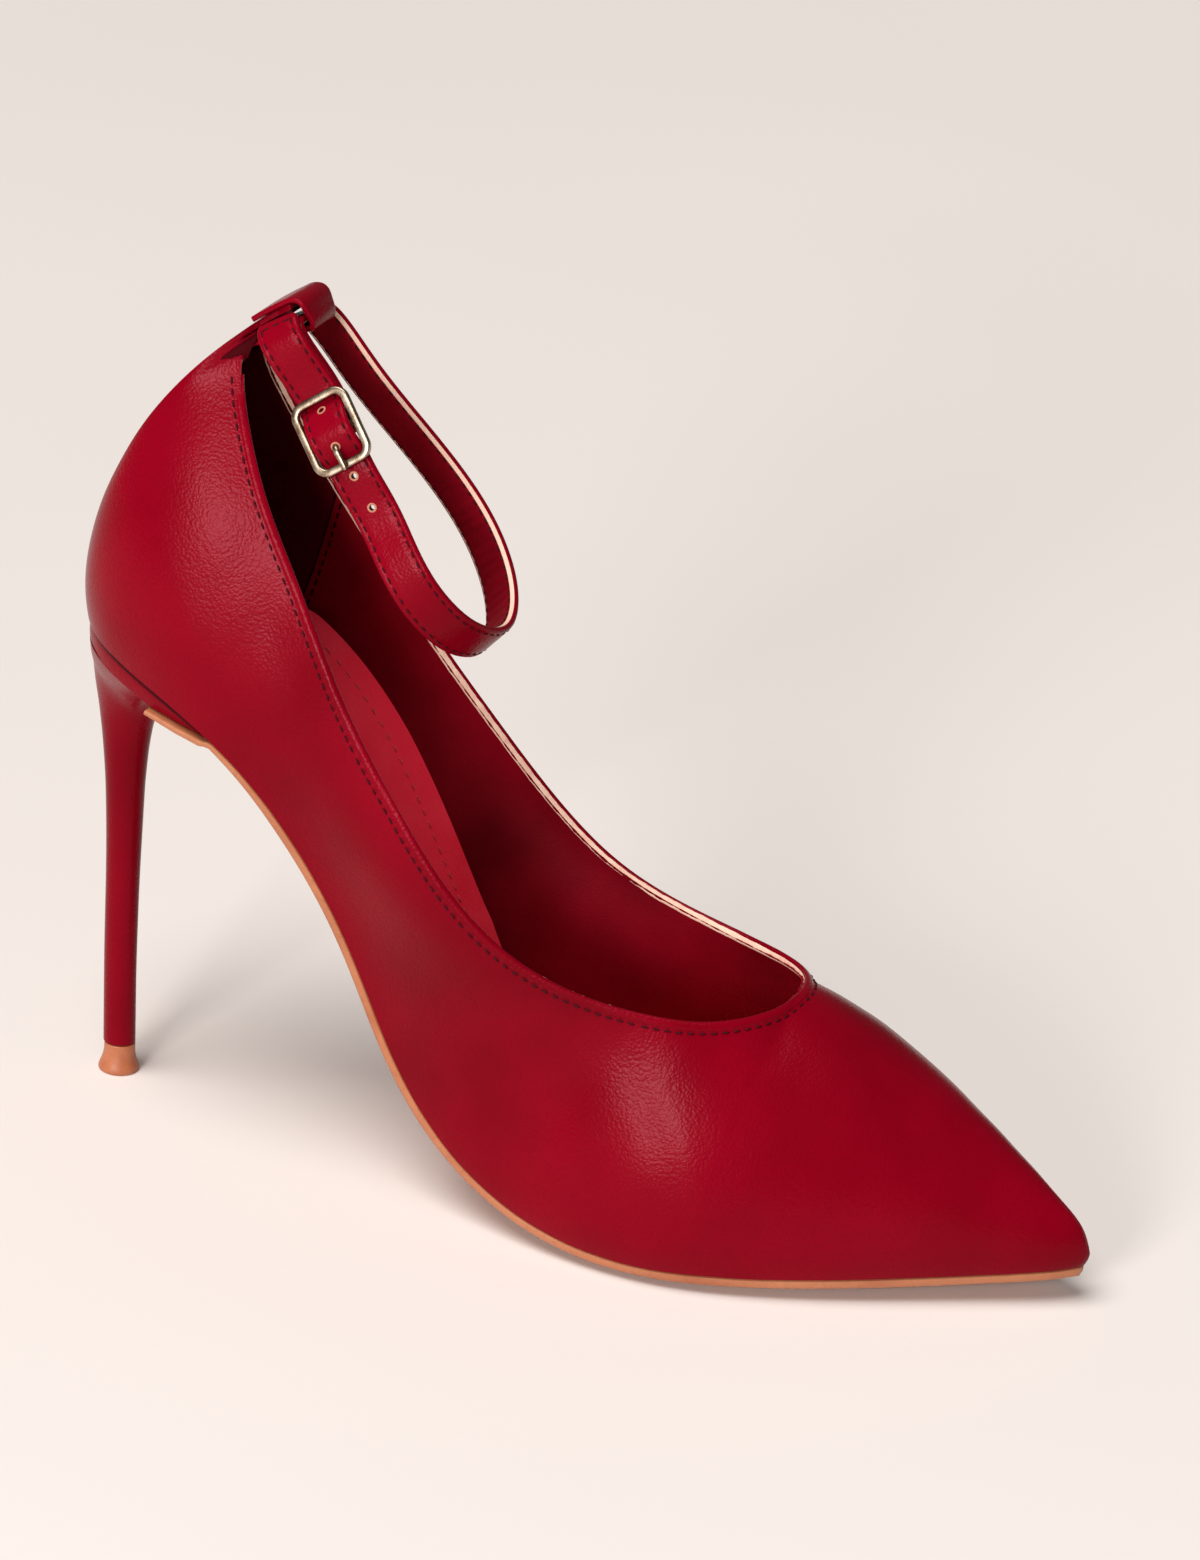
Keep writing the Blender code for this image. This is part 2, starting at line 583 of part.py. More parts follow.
def strap_loop():
    """Middle line of the strap loop, starting at the back and running along the outer side."""
    plan = STRAP_OUTER + [(p, -w) for p, w in STRAP_INNER[::-1]] + [STRAP_OUTER[0]]
    plan = np.array(plan, float)
    doubled = np.vstack([plan[:-1], plan[:-1], plan])
    line = curve(doubled, 3601)
    third = lengths(line)
    whole = third[-1] / 3
    at = whole + np.linspace(0, whole, 1201)
    flat = at_length(line, third, at)
    fall = math.radians(STRAP_SLOPE)
    way = np.array([math.cos(fall), 0, math.sin(fall)])
    middle = np.array([STRAP_BACK[0], 0, STRAP_BACK[1]])
    p = middle + flat[:, :1] * way - flat[:, 1:] * np.array([0, 1.0, 0])
    return p, lengths(p)


def strap_frame(line, marks, at):
    """Position, direction, outward and up vectors at a length along the loop."""
    whole = marks[-1]
    at = np.asarray(at, float)
    spot = at_length(line, marks, at % whole)
    way = unit(at_length(line, marks, (at + 0.4) % whole) - at_length(line, marks, (at - 0.4) % whole))
    fall = math.radians(STRAP_SLOPE)
    up = np.array([-math.sin(fall), 0, math.cos(fall)])
    flat_out = unit(np.cross(way, up))
    near_back = np.minimum(at % whole, whole - at % whole)
    lean = np.radians(np.interp(near_back, [0, 8, 24], [7, 8, STRAP_LEAN]))[..., None]
    high = up * np.cos(lean) - flat_out * np.sin(lean)
    out = flat_out * np.cos(lean) + up * np.sin(lean)
    return spot, way, out, high


def ribbon(centres, outs, highs, width, thick, name):
    """Flat strip with eased edges swept along the centres."""
    w, t = width / 2, thick / 2
    c = min(0.35, t * 0.5)
    section = [(-w, -t + c), (-w + c, -t), (w - c, -t), (w, -t + c),
               (w, t - c), (w - c, t), (-w + c, t), (-w, t - c)]
    verts = []
    for p, o, h in zip(centres, outs, highs):
        for across, away in section:
            verts.append(p + h * across + o * away)
    faces = []
    n = len(section)
    for r in range(len(centres) - 1):
        for k in range(n):
            j = (k + 1) % n
            faces.append((r * n + k, r * n + j, (r + 1) * n + j, (r + 1) * n + k))
    faces.append(list(range(n)))
    faces.append([(len(centres) - 1) * n + k for k in range(n)])
    return make_object(name, np.array(verts), faces)


def strap_layers():
    """Heights of strap and bars over the loop line around the buckle."""
    layer = STRAP_THICK + GAP
    bar = BUCKLE_BAR / 2
    frame = layer + STRAP_THICK / 2 + GAP + bar
    centre = frame - CENTRE_BAR_DROP
    return layer, frame, centre


def make_strap():
    line, marks = strap_loop()
    whole = marks[-1]
    layer, frame, centre = strap_layers()
    reach = BUCKLE_LENGTH / 2 - BUCKLE_BAR / 2
    bar = BUCKLE_BAR / 2
    over = centre + bar + GAP + STRAP_THICK / 2
    under = centre - bar - GAP - STRAP_THICK / 2
    # Strap length measured backwards round the loop from the hook on the centre bar.
    # Columns: loop position, height over the loop line.
    hook = [(BUCKLE_AT + 1.2, under + 0.35), (BUCKLE_AT + 0.6, under + 0.05), (BUCKLE_AT, under),
            (BUCKLE_AT - 3, under - 0.5), (BUCKLE_AT - 6.5, 0.05), (BUCKLE_AT - 9.5, 0)]
    round_back = [(v, 0) for v in np.linspace(BUCKLE_AT - 12, BUCKLE_AT + 22 - whole, 46)]
    join = [(BUCKLE_AT + 18 - whole, 0.3), (BUCKLE_AT + 14 - whole, 1.0),
            (BUCKLE_AT + 10.5 - whole, layer - 0.35), (BUCKLE_AT + reach + 0.8 - whole, layer - 0.05),
            (BUCKLE_AT + reach - 0.8 - whole, layer + 0.1),
            (BUCKLE_AT + 3.6 - whole, (layer + over) / 2 + 0.3),
            (BUCKLE_AT + 1.2 - whole, over - 0.02), (BUCKLE_AT - 1.2 - whole, over - 0.02),
            (BUCKLE_AT - 3.6 - whole, (layer + over) / 2 + 0.3),
            (BUCKLE_AT - reach + 0.8 - whole, layer + 0.1),
            (BUCKLE_AT - reach - 0.8 - whole, layer - 0.02), (BUCKLE_AT - reach - 3 - whole, layer),
            (BUCKLE_AT - reach - 6 - whole, layer), (BUCKLE_AT - reach - 9 - whole, layer),
            (STRAP_END - whole, layer)]
    rows = np.array(hook + round_back + join)
    steps = lengths(rows * (1, 1.0))
    fine = np.linspace(0, steps[-1], 150)
    at = np.stack([spline(steps, rows[:, k], fine) for k in (0, 1)], 1)
    spot, way, out, high = strap_frame(line, marks, at[:, 0])
    centres = spot + out * at[:, 1:]
    tangent = unit(np.gradient(centres, axis=0))
    outs = unit(np.cross(tangent, high) * -1)
    strap = ribbon(centres, outs, high, STRAP_WIDTH, STRAP_THICK, "ankle_strap")
    # The prong goes through one hole of the row.
    spot, way, out, high = buckle_axes()
    bpy.ops.mesh.primitive_cylinder_add(vertices=14, radius=PRONG_HOLE * 0.0005, depth=0.005)
    cutter = bpy.context.object
    cutter.name = "prong_hole_cut"
    cutter.rotation_mode = "QUATERNION"
    cutter.rotation_quaternion = Vector(out).to_track_quat("Z", "Y")
    cutter.location = (spot + way * PRONG_AT + out * (centre + 1.2)) * 0.001
    cutter.hide_render = True
    cutter.display_type = "WIRE"
    cut = strap.modifiers.new("prong_hole", "BOOLEAN")
    cut.operation = "DIFFERENCE"
    cut.solver = "EXACT"
    cut.object = cutter
    return strap


def tube(path, normals, binormals, width, thick, closed, count=10, name=None, square=0.6):
    """Rounded bar swept along a path; returns vertices and faces."""
    verts = []
    for p, a, b in zip(path, normals, binormals):
        for k in range(count):
            t = 2 * math.pi * (k + 0.5) / count
            c, s = math.cos(t), math.sin(t)
            verts.append(p + a * (math.copysign(abs(c)**square, c) * width / 2)
                         + b * (math.copysign(abs(s)**square, s) * thick / 2))
    faces = []
    n = len(path)
    for r in range(n if closed else n - 1):
        for k in range(count):
            j = (k + 1) % count
            r2 = (r + 1) % n
            faces.append((r * count + k, r * count + j, r2 * count + j, r2 * count + k))
    if not closed:
        faces.append(list(range(count)))
        faces.append([(n - 1) * count + k for k in range(count)])
    return verts, faces


def buckle_axes():
    line, marks = strap_loop()
    spot, way, out, high = strap_frame(line, marks, np.array([BUCKLE_AT]))
    a = strap_frame(line, marks, np.array([BUCKLE_AT - 7.0]))[0][0]
    b = strap_frame(line, marks, np.array([BUCKLE_AT + 7.0]))[0][0]
    way = unit(b - a)
    out = unit(out[0] - way * np.dot(out[0], way))
    high = np.cross(out, way)
    if high[2] < 0:
        high = -high
    return spot[0], way, out, high


def make_buckle():
    layer, frame, centre = strap_layers()
    spot, way, out, high = buckle_axes()
    length, width = BUCKLE_LENGTH - BUCKLE_BAR, BUCKLE_WIDTH - BUCKLE_BAR
    corner = 2.2
    ring = []
    for cx, cy, start in ((1, 1, 0), (-1, 1, 90), (-1, -1, 180), (1, -1, 270)):
        for t in np.linspace(start, start + 90, 5):
            ring.append((cx * (length / 2 - corner) + corner * math.cos(math.radians(t)),
                         cy * (width / 2 - corner) + corner * math.sin(math.radians(t))))
    ring = np.array(ring)
    path = spot + out * frame + ring[:, :1] * way + ring[:, 1:] * high
    around = unit(np.roll(path, -1, axis=0) - np.roll(path, 1, axis=0))
    side = np.cross(around, out)
    verts, faces = tube(path, side, [out] * len(path), BUCKLE_BAR, BUCKLE_BAR * 0.9, True)
    # Centre bar, dropped a little and turned up into the side bars.
    half = width / 2 - 0.15
    drop = [(-half, frame - 0.25), (-half + 0.5, centre + 0.1), (-half + 1.2, centre),
            (half - 1.2, centre), (half - 0.5, centre + 0.1), (half, frame - 0.25)]
    bar_path = np.array([spot + out * o + high * h for h, o in drop])
    tangent = unit(np.gradient(bar_path, axis=0))
    across = np.array([way] * len(drop))
    third = np.cross(tangent, across)
    bar_verts, bar_faces = tube(bar_path, across, third, BUCKLE_BAR * 0.85, BUCKLE_BAR * 0.85, False, 8)
    ring_object = make_object("buckle_frame", np.array(verts), faces)
    mesh = bpy.data.meshes.new("centre_bar")
    mesh.from_pydata([tuple(np.array(v) * 0.001) for v in bar_verts], [], bar_faces)
    bar = bpy.data.objects.new("centre_bar_join", mesh)
    bpy.context.scene.collection.objects.link(bar)
    bm = bmesh.new()
    bm.from_mesh(mesh)
    bmesh.ops.recalc_face_normals(bm, faces=bm.faces)
    bm.to_mesh(mesh)
    bm.free()
    bar.hide_render = True
    bar.display_type = "WIRE"
    join = ring_object.modifiers.new("centre_bar", "BOOLEAN")
    join.operation = "UNION"
    join.solver = "EXACT"
    join.object = bar
    return ring_object


def make_prong():
    layer, frame, centre = strap_layers()
    spot, way, out, high = buckle_axes()
    # Columns: forward of the centre bar, height over the centre bar.
    points = [(1.0, -0.05), (1.9, -0.05), (PRONG_AT - 0.4, 0.1), (PRONG_AT, 0.65), (PRONG_AT, 1.4),
              (PRONG_AT, 2.1), (PRONG_AT + 0.25, 2.75), (PRONG_AT + 1.0, 3.05), (5.4, 2.9), (6.85, 2.68),
              (7.5, 2.55)]
    points = [(forward, centre + lift) for forward, lift in points]
    flat = curve(points, 26)
    path = spot + flat[:, :1] * way + flat[:, 1:] * out
    tangent = unit(np.gradient(path, axis=0))
    across = np.array([high] * len(path))
    third = np.cross(tangent, across)
    verts, faces = tube(path, across, third, PRONG_THICK, PRONG_THICK, False, 8, square=1.0)
    return make_object("buckle_prong", np.array(verts), faces)


def make_back_loop():
    """Keeper strip that closes the tunnel for the strap inside the tab."""
    along = unit(np.array([0.85, 0, 0.527]))
    inward = np.array([along[2], 0, -along[0]])
    centre = np.array([STRAP_BACK[0], 0, STRAP_BACK[1]])
    half = STRAP_WIDTH / 2
    t = 1.1
    inner = STRAP_THICK / 2 + GAP + t / 2
    # Columns: along the tab, inwards from the strap's middle.
    points = [(half + 1.35, -2.7), (half + 1.35, -0.6), (half + 1.2, inner - 0.5),
              (half + 0.3, inner + 0.15), (half - 1, inner + 0.1), (0, inner + 0.1),
              (-half + 0.5, inner + 0.1), (-half - 1.0, inner - 0.5),
              (-half - 2.4, inner - 1.2), (-half - 4.0, inner - 1.35)]
    flat = curve(points, 26)
    path = centre + flat[:, :1] * along + flat[:, 1:] * inward
    tangent = unit(np.gradient(path, axis=0))
    side = np.array([[0, 1.0, 0]] * len(path))
    outs = np.cross(tangent, side)
    return ribbon(path, outs, side, TAB_HALF * 2 - 1.0, t, "back_loop")


def clear_scene():
    for o in list(bpy.data.objects):
        bpy.data.objects.remove(o, do_unlink=True)


def centre_on_floor():
    """Moves everything so that the middle of the whole box stands over the origin."""
    solid = [o for o in bpy.data.objects if not o.hide_render]
    spots = np.array([tuple(v.co) for o in solid for v in o.data.vertices])
    middle = (spots.min(0) + spots.max(0)) / 2
    for o in bpy.data.objects:
        o.location = (o.location.x - middle[0], o.location.y - middle[1], o.location.z)


def main():
    clear_scene()
    make_upper()
    plate("insole", WALL + 0.5, lambda s: 0 * s + INSOLE_THICK, lambda s: 0 * s,
          0, INSOLE_END, 34, 9, rim=insole_rim)
    plate("outsole", 0.2, lambda s: -GAP - breast_drop(s),
          lambda s: -GAP - outsole_thickness(s) - breast_drop(s),
          OUTSOLE_START, SHOE_ARC + 1, 40, 9, 0.5, outsole_crown)
    make_heel()
    make_tip()
    make_strap()
    make_back_loop()
    make_buckle()
    make_prong()
    centre_on_floor()


main()
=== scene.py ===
import math

import bpy
import numpy as np
from mathutils import Matrix, Vector
from mathutils.bvhtree import BVHTree
from mathutils.kdtree import KDTree


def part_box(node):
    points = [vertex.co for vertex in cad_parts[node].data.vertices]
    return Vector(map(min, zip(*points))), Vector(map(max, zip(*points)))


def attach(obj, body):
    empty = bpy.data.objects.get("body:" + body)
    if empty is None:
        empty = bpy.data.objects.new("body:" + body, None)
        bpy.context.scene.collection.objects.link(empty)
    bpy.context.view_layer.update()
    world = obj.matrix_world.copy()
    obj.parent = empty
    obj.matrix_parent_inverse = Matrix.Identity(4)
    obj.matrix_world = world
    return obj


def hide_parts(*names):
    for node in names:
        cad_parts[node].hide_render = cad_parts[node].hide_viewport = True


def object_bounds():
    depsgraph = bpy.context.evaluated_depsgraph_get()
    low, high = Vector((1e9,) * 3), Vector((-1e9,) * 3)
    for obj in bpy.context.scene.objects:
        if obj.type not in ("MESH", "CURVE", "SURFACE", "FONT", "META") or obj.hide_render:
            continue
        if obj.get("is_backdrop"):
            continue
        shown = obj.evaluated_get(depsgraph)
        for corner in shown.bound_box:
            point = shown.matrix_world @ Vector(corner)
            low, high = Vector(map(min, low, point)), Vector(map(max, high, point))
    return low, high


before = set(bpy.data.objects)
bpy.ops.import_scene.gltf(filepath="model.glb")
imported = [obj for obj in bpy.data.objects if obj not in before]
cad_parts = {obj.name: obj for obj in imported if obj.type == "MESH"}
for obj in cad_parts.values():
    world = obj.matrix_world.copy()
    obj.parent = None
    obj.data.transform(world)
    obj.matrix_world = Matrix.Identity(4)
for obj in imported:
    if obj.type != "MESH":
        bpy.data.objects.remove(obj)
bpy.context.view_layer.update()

# Right shoe: toe along +X, buckle on the outer side at -Y. Shapes are worked out in millimetres.
tipLow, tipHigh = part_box("heel_tip")
tipCentre = (tipLow + tipHigh) / 2 * 1000
tipOffset = (-0.2, -0.1)                     # the tip's centre, measured from the heel's own centre
# Shapes are drawn from the heel's own centre, and move carries them to the frame's origin.
move = np.array([tipCentre.x - tipOffset[0], tipCentre.y - tipOffset[1], 0])


def deselect():
    if bpy.context.object and bpy.context.object.mode != "OBJECT":
        bpy.ops.object.mode_set(mode="OBJECT")
    bpy.ops.object.select_all(action="DESELECT")


def pick(*pieces):
    deselect()
    for piece in pieces:
        piece.select_set(True)
    bpy.context.view_layer.objects.active = pieces[0]


def spline(xs, ys, at):                      # natural cubic through points
    xs, ys, at = (np.asarray(q, float) for q in (xs, ys, at))
    n = len(xs)
    h = np.diff(xs)
    a, r = np.zeros((n, n)), np.zeros(n)
    a[0, 0] = a[-1, -1] = 1.0
    for i in range(1, n - 1):
        a[i, i - 1:i + 2] = h[i - 1], 2 * (h[i - 1] + h[i]), h[i]
        r[i] = 6 * ((ys[i + 1] - ys[i]) / h[i] - (ys[i] - ys[i - 1]) / h[i - 1])
    m = np.linalg.solve(a, r)
    k = np.clip(np.searchsorted(xs, at) - 1, 0, n - 2)
    u = (xs[k + 1] - at) / h[k]
    v = 1 - u
    return u * ys[k] + v * ys[k + 1] + ((u**3 - u) * m[k] + (v**3 - v) * m[k + 1]) * h[k]**2 / 6


def lengths(line):
    return np.concatenate([[0], np.cumsum(np.linalg.norm(np.diff(line, axis=0), axis=1))])


def curve(points, count):
    p = np.asarray(points, float)
    c = lengths(p)
    t = np.linspace(0, c[-1], count)
    return np.stack([spline(c, p[:, k], t) for k in range(p.shape[1])], 1)


def atLength(line, marks, at):
    return np.stack([np.interp(at, marks, line[:, k]) for k in range(line.shape[1])], -1)


def unit(v):
    v = np.asarray(v, float)
    return v / np.maximum(np.linalg.norm(v, axis=-1, keepdims=True), 1e-12)


def ease(table, at, columns):                # monotone reading of a table
    t = np.asarray(table, float)
    at = np.clip(at, t[0, 0], t[-1, 0])
    k = np.clip(np.searchsorted(t[:, 0], at) - 1, 0, len(t) - 2)
    h = t[k + 1, 0] - t[k, 0]
    f = (at - t[k, 0]) / h
    found = []
    for c in columns:
        d = np.diff(t[:, c]) / np.diff(t[:, 0])
        m = np.zeros(len(t))
        same = d[1:] * d[:-1] > 0
        m[1:-1][same] = 2 * d[1:][same] * d[:-1][same] / (d[1:][same] + d[:-1][same])
        m[0], m[-1] = d[0], d[-1]
        found.append((2 * f**3 - 3 * f**2 + 1) * t[k, c] + (f**3 - 2 * f**2 + f) * h * m[k]
                     + (3 * f**2 - 2 * f**3) * t[k + 1, c] + (f**3 - f**2) * h * m[k + 1])
    return np.stack(found, -1)


def smooth(f):
    f = np.clip(f, 0, 1)
    return f * f * (3 - 2 * f)


def named(name):                             # names the object just made and clears its UV map
    piece = bpy.context.object
    piece.name = piece.data.name = name
    while piece.data.uv_layers:
        piece.data.uv_layers.remove(piece.data.uv_layers[0])
    return piece


def treeOf(spots):
    tree = KDTree(len(spots))
    for k, spot in enumerate(spots):
        tree.insert(spot, k)
    tree.balance()
    return tree


# A sheet of quads, shaped from a grid that is added flat. Points are rows x columns in mm.
def sheet(name, points, lay=None):
    rows, columns = points.shape[:2]
    deselect()
    bpy.ops.mesh.primitive_grid_add(x_subdivisions=columns - 1, y_subdivisions=rows - 1, size=0.1)
    piece = named(name)
    piece.data.vertices.foreach_set("co", ((points + move) * 0.001).reshape(-1))
    mark = piece.data.attributes.new("lay", "FLOAT_VECTOR", "POINT")
    if lay is not None:
        mark.data.foreach_set("vector", np.asarray(lay, float).reshape(-1))
    piece.data.update()
    return piece


weldGap = 0.004                              # points nearer than this become one


def merge(name, *parts, angle=40, caps=False):
    pick(*parts)
    if len(parts) > 1:
        bpy.ops.object.join()
    piece = named(name)
    bpy.ops.object.mode_set(mode="EDIT")
    bpy.ops.mesh.select_all(action="SELECT")
    bpy.ops.mesh.remove_doubles(threshold=weldGap * 0.001)
    bpy.ops.mesh.dissolve_degenerate(threshold=weldGap * 0.001)
    if caps:
        bpy.ops.mesh.select_all(action="SELECT")
        bpy.ops.mesh.fill_holes(sides=0)
    bpy.ops.mesh.select_all(action="SELECT")
    bpy.ops.mesh.normals_make_consistent(inside=False)
    bpy.ops.object.mode_set(mode="OBJECT")
    bpy.ops.object.shade_smooth_by_angle(angle=math.radians(angle))
    return piece


def dropFaces(piece, faces):
    pick(piece)
    bpy.ops.object.mode_set(mode="EDIT")
    bpy.ops.mesh.select_mode(type="FACE")
    bpy.ops.mesh.select_all(action="DESELECT")
    bpy.ops.object.mode_set(mode="OBJECT")
    piece.data.polygons.foreach_set("select", faces)
    bpy.ops.object.mode_set(mode="EDIT")
    bpy.ops.mesh.delete(type="FACE")
    bpy.ops.mesh.select_mode(type="VERT")
    bpy.ops.object.mode_set(mode="OBJECT")


def finishPiece(piece, material, slot, *nodes):
    piece.data.materials.clear()
    piece.data.materials.append(material)
    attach(piece, "root")
    if nodes:
        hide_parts(*nodes)
    return piece


# Closed band swept along frames: section points are (across, away) in mm for each spot.
def sweep(name, spots, across, away, section, closed=False, angle=50):
    section = np.asarray(section, float)
    if section.ndim == 2:
        section = np.repeat(section[None], len(spots), 0)
    loop = np.concatenate([section, section[:, :1]], 1)
    points = spots[:, None] + across[:, None] * loop[..., :1] + away[:, None] * loop[..., 1:]
    along = lengths(spots)
    lay = np.concatenate([np.repeat(along[:, None, None], loop.shape[1], 1), loop], 2)
    if closed:
        points = np.concatenate([points, points[:1]])
        lay = np.concatenate([lay, lay[:1]])
    piece = sheet(name, points, lay)
    return merge(name, piece, caps=not closed, angle=angle)


def roundBox(width, height, radius, steps=4):
    ring = []
    for cx, cy, start in ((1, 1, 0), (-1, 1, 90), (-1, -1, 180), (1, -1, 270)):
        for t in np.radians(np.linspace(start, start + 90, steps + 1)):
            ring.append((cx * (width / 2 - radius) + radius * math.cos(t),
                         cy * (height / 2 - radius) + radius * math.sin(t)))
    return np.array(ring)


# Form of the last, which gives the upper, sole, sock and heel their shapes

last = {
    "arc": 255.0, "seatBackX": -10.4, "ballLift": 4.0, "wall": 1.8,
    "bottom": [(0, -17.0), (25, -24.2), (50, -45.2), (75, -57.4), (100, -60.3),
               (125, -40.7), (150, -15.7), (170, -1.6), (200, 2.5), (255, 5.1)],
    "outer": [(0, 0), (1.6, 7.5), (8, 15.3), (18, 20.2), (32, 22.8), (50, 22.2), (70, 20.4),
              (95, 19.8), (120, 23.7), (145, 29.7), (165, 33.4), (180, 33.4), (195, 29.8),
              (210, 23.6), (225, 16.0), (238, 9.0), (248, 3.6), (253.2, 0.0), (255, -2.5)],
    "inner": [(0, 0), (1.6, 7.5), (8, 15.3), (18, 20.0), (32, 22.0), (50, 21.0), (70, 18.8),
              (95, 17.6), (120, 21.0), (145, 28.0), (162, 33.8), (176, 36.0), (190, 34.4),
              (204, 29.6), (218, 23.0), (231, 16.4), (242, 10.8), (249.5, 7.2), (253.6, 4.8), (255, 2.5)],
    "topEdge": [(22.6, 5.6, 166.4), (20.6, 6.0, 161.8), (21.0, 7.9, 155.0), (24.0, 10.9, 147.0),
                (30.0, 14.8, 135.0), (39.1, 18.3, 120.5), (51.5, 23.0, 101.0), (65.6, 26.4, 83.1),
                (79.5, 28.2, 68.0), (93.5, 27.6, 58.0), (107.5, 25.9, 53.2), (119.0, 23.4, 51.6),
                (128.5, 19.8, 51.2), (136.0, 14.2, 51.9), (140.4, 7.6, 52.7), (141.7, 0.0, 53.2)],
    "tabTop": (28.9, 171.3), "tabHalf": 5.5,
    "throatSpot": 0.7, "vampFoot": (5.0, 18.5), "vampTop": 17.5,
    "cutFrom": 95, "cutFull": 150, "toeLean": 2.5,
    "ridge": [(141.7, 53.2), (155, 48.4), (168, 41.4), (180, 33.4), (190, 26.0),
              (197, 20.2), (201.5, 15.6), (203.4, 11.4)],
    "backMatch": [(0, 0), (3, 5.5), (7.5, 12), (12, 19), (17, 27), (24, 36.5), (32, 50), (42, 64)],
    "sideMatch": [(51.5, 48), (65.6, 66), (79.5, 83), (93.5, 101), (107.5, 125), (119, 150),
                  (128.5, 166), (136, 177), (140.4, 185), (141.7, 192)],
    "wallShape": [(0, 8.0, 14, 21.0, 24.0), (20, 3.7, 12.7, 11.7, 25.6), (45, 1.8, 12.3, 1.7, 10.4),
                  (80, 2.0, 11, 2.0, 12), (110, 3.0, 12, 3.0, 12), (125, 3.5, 12, 4.5, 11.5),
                  (155, 4.5, 14, 8.5, 9.5), (174, 5.0, 17, 12.5, 6.5), (184, 5.0, 18, 15.5, 3),
                  (192, 5.0, 18.5, 17.5, 0), (215, 4.2, 15, 13.0, 0), (238, 2.6, 8.5, 5.6, 0),
                  (246, 1.9, 6, 3.4, 0), (250, 1.5, 4.4, 2.3, 0), (253.5, 1.1, 2.4, 1.3, 0),
                  (255, 0.9, 1.4, 0.7, 0)],
}

arcGrid = np.linspace(0, last["arc"], 511)
slopeGrid = np.radians(spline([r[0] for r in last["bottom"]], [r[1] for r in last["bottom"]], arcGrid))
arcStep = np.diff(arcGrid)
xGrid = last["seatBackX"] + np.concatenate(
    [[0], np.cumsum((np.cos(slopeGrid[1:]) + np.cos(slopeGrid[:-1])) / 2 * arcStep)])
zGrid = np.concatenate([[0], np.cumsum((np.sin(slopeGrid[1:]) + np.sin(slopeGrid[:-1])) / 2 * arcStep)])
zGrid = zGrid - zGrid.min() + last["ballLift"]


def bottom(arc):
    arc = np.asarray(arc, float)
    inside = np.clip(arc, 0, last["arc"])
    slope = np.interp(inside, arcGrid, slopeGrid)
    over = arc - inside
    return (np.interp(inside, arcGrid, xGrid) + over * np.cos(slope),
            np.interp(inside, arcGrid, zGrid) + over * np.sin(slope), slope)


def onBottom(plan, lift):
    x, z, slope = bottom(plan[..., 0])
    return np.stack([x - np.sin(slope) * lift, plan[..., 1], z + np.cos(slope) * lift], -1)


def sideOutline(side):
    rows = last["outer"] if side < 0 else last["inner"]
    tip = rows[-1][1]
    beyond = [(r[0], 2 * tip - r[1]) for r in rows[-2:-4:-1]]
    line = curve([(r[0], -r[1]) for r in rows[3:0:-1]] + rows + beyond, 1800)
    first = np.argmin(np.abs(line[:400, 1]))
    final = 1000 + np.argmin(np.abs(line[1000:, 1] - tip) + (line[1000:, 0] < 250) * 99)
    line = line[first:final + 1]
    line[0] = (0, 0)
    line[-1] = rows[-1]
    way = unit(np.gradient(line, axis=0))
    out = np.stack([-way[:, 1], way[:, 0]], 1)
    out[0] = (-1, 0)
    out[-1] = (1, 0)
    return line * (1, side), out * (1, side)


def topLine():
    edge = last["topEdge"]
    mirror = [(x, -w, z) for x, w, z in edge[-2:-5:-1]]
    body = curve(edge + mirror, 1600)
    body = body[:np.argmax((body[:, 1] < 0) & (body[:, 0] > 120))]
    body[-1, 1] = 0
    x, z = last["tabTop"]
    return np.vstack([[(x, 0, z), (x, last["tabHalf"], z)], body])


def toeLean(x):                              # how far the vamp's ridge lies to the inner side
    return np.interp(x, [last["ridge"][0][0], last["ridge"][-1][0]], [0, last["toeLean"]])


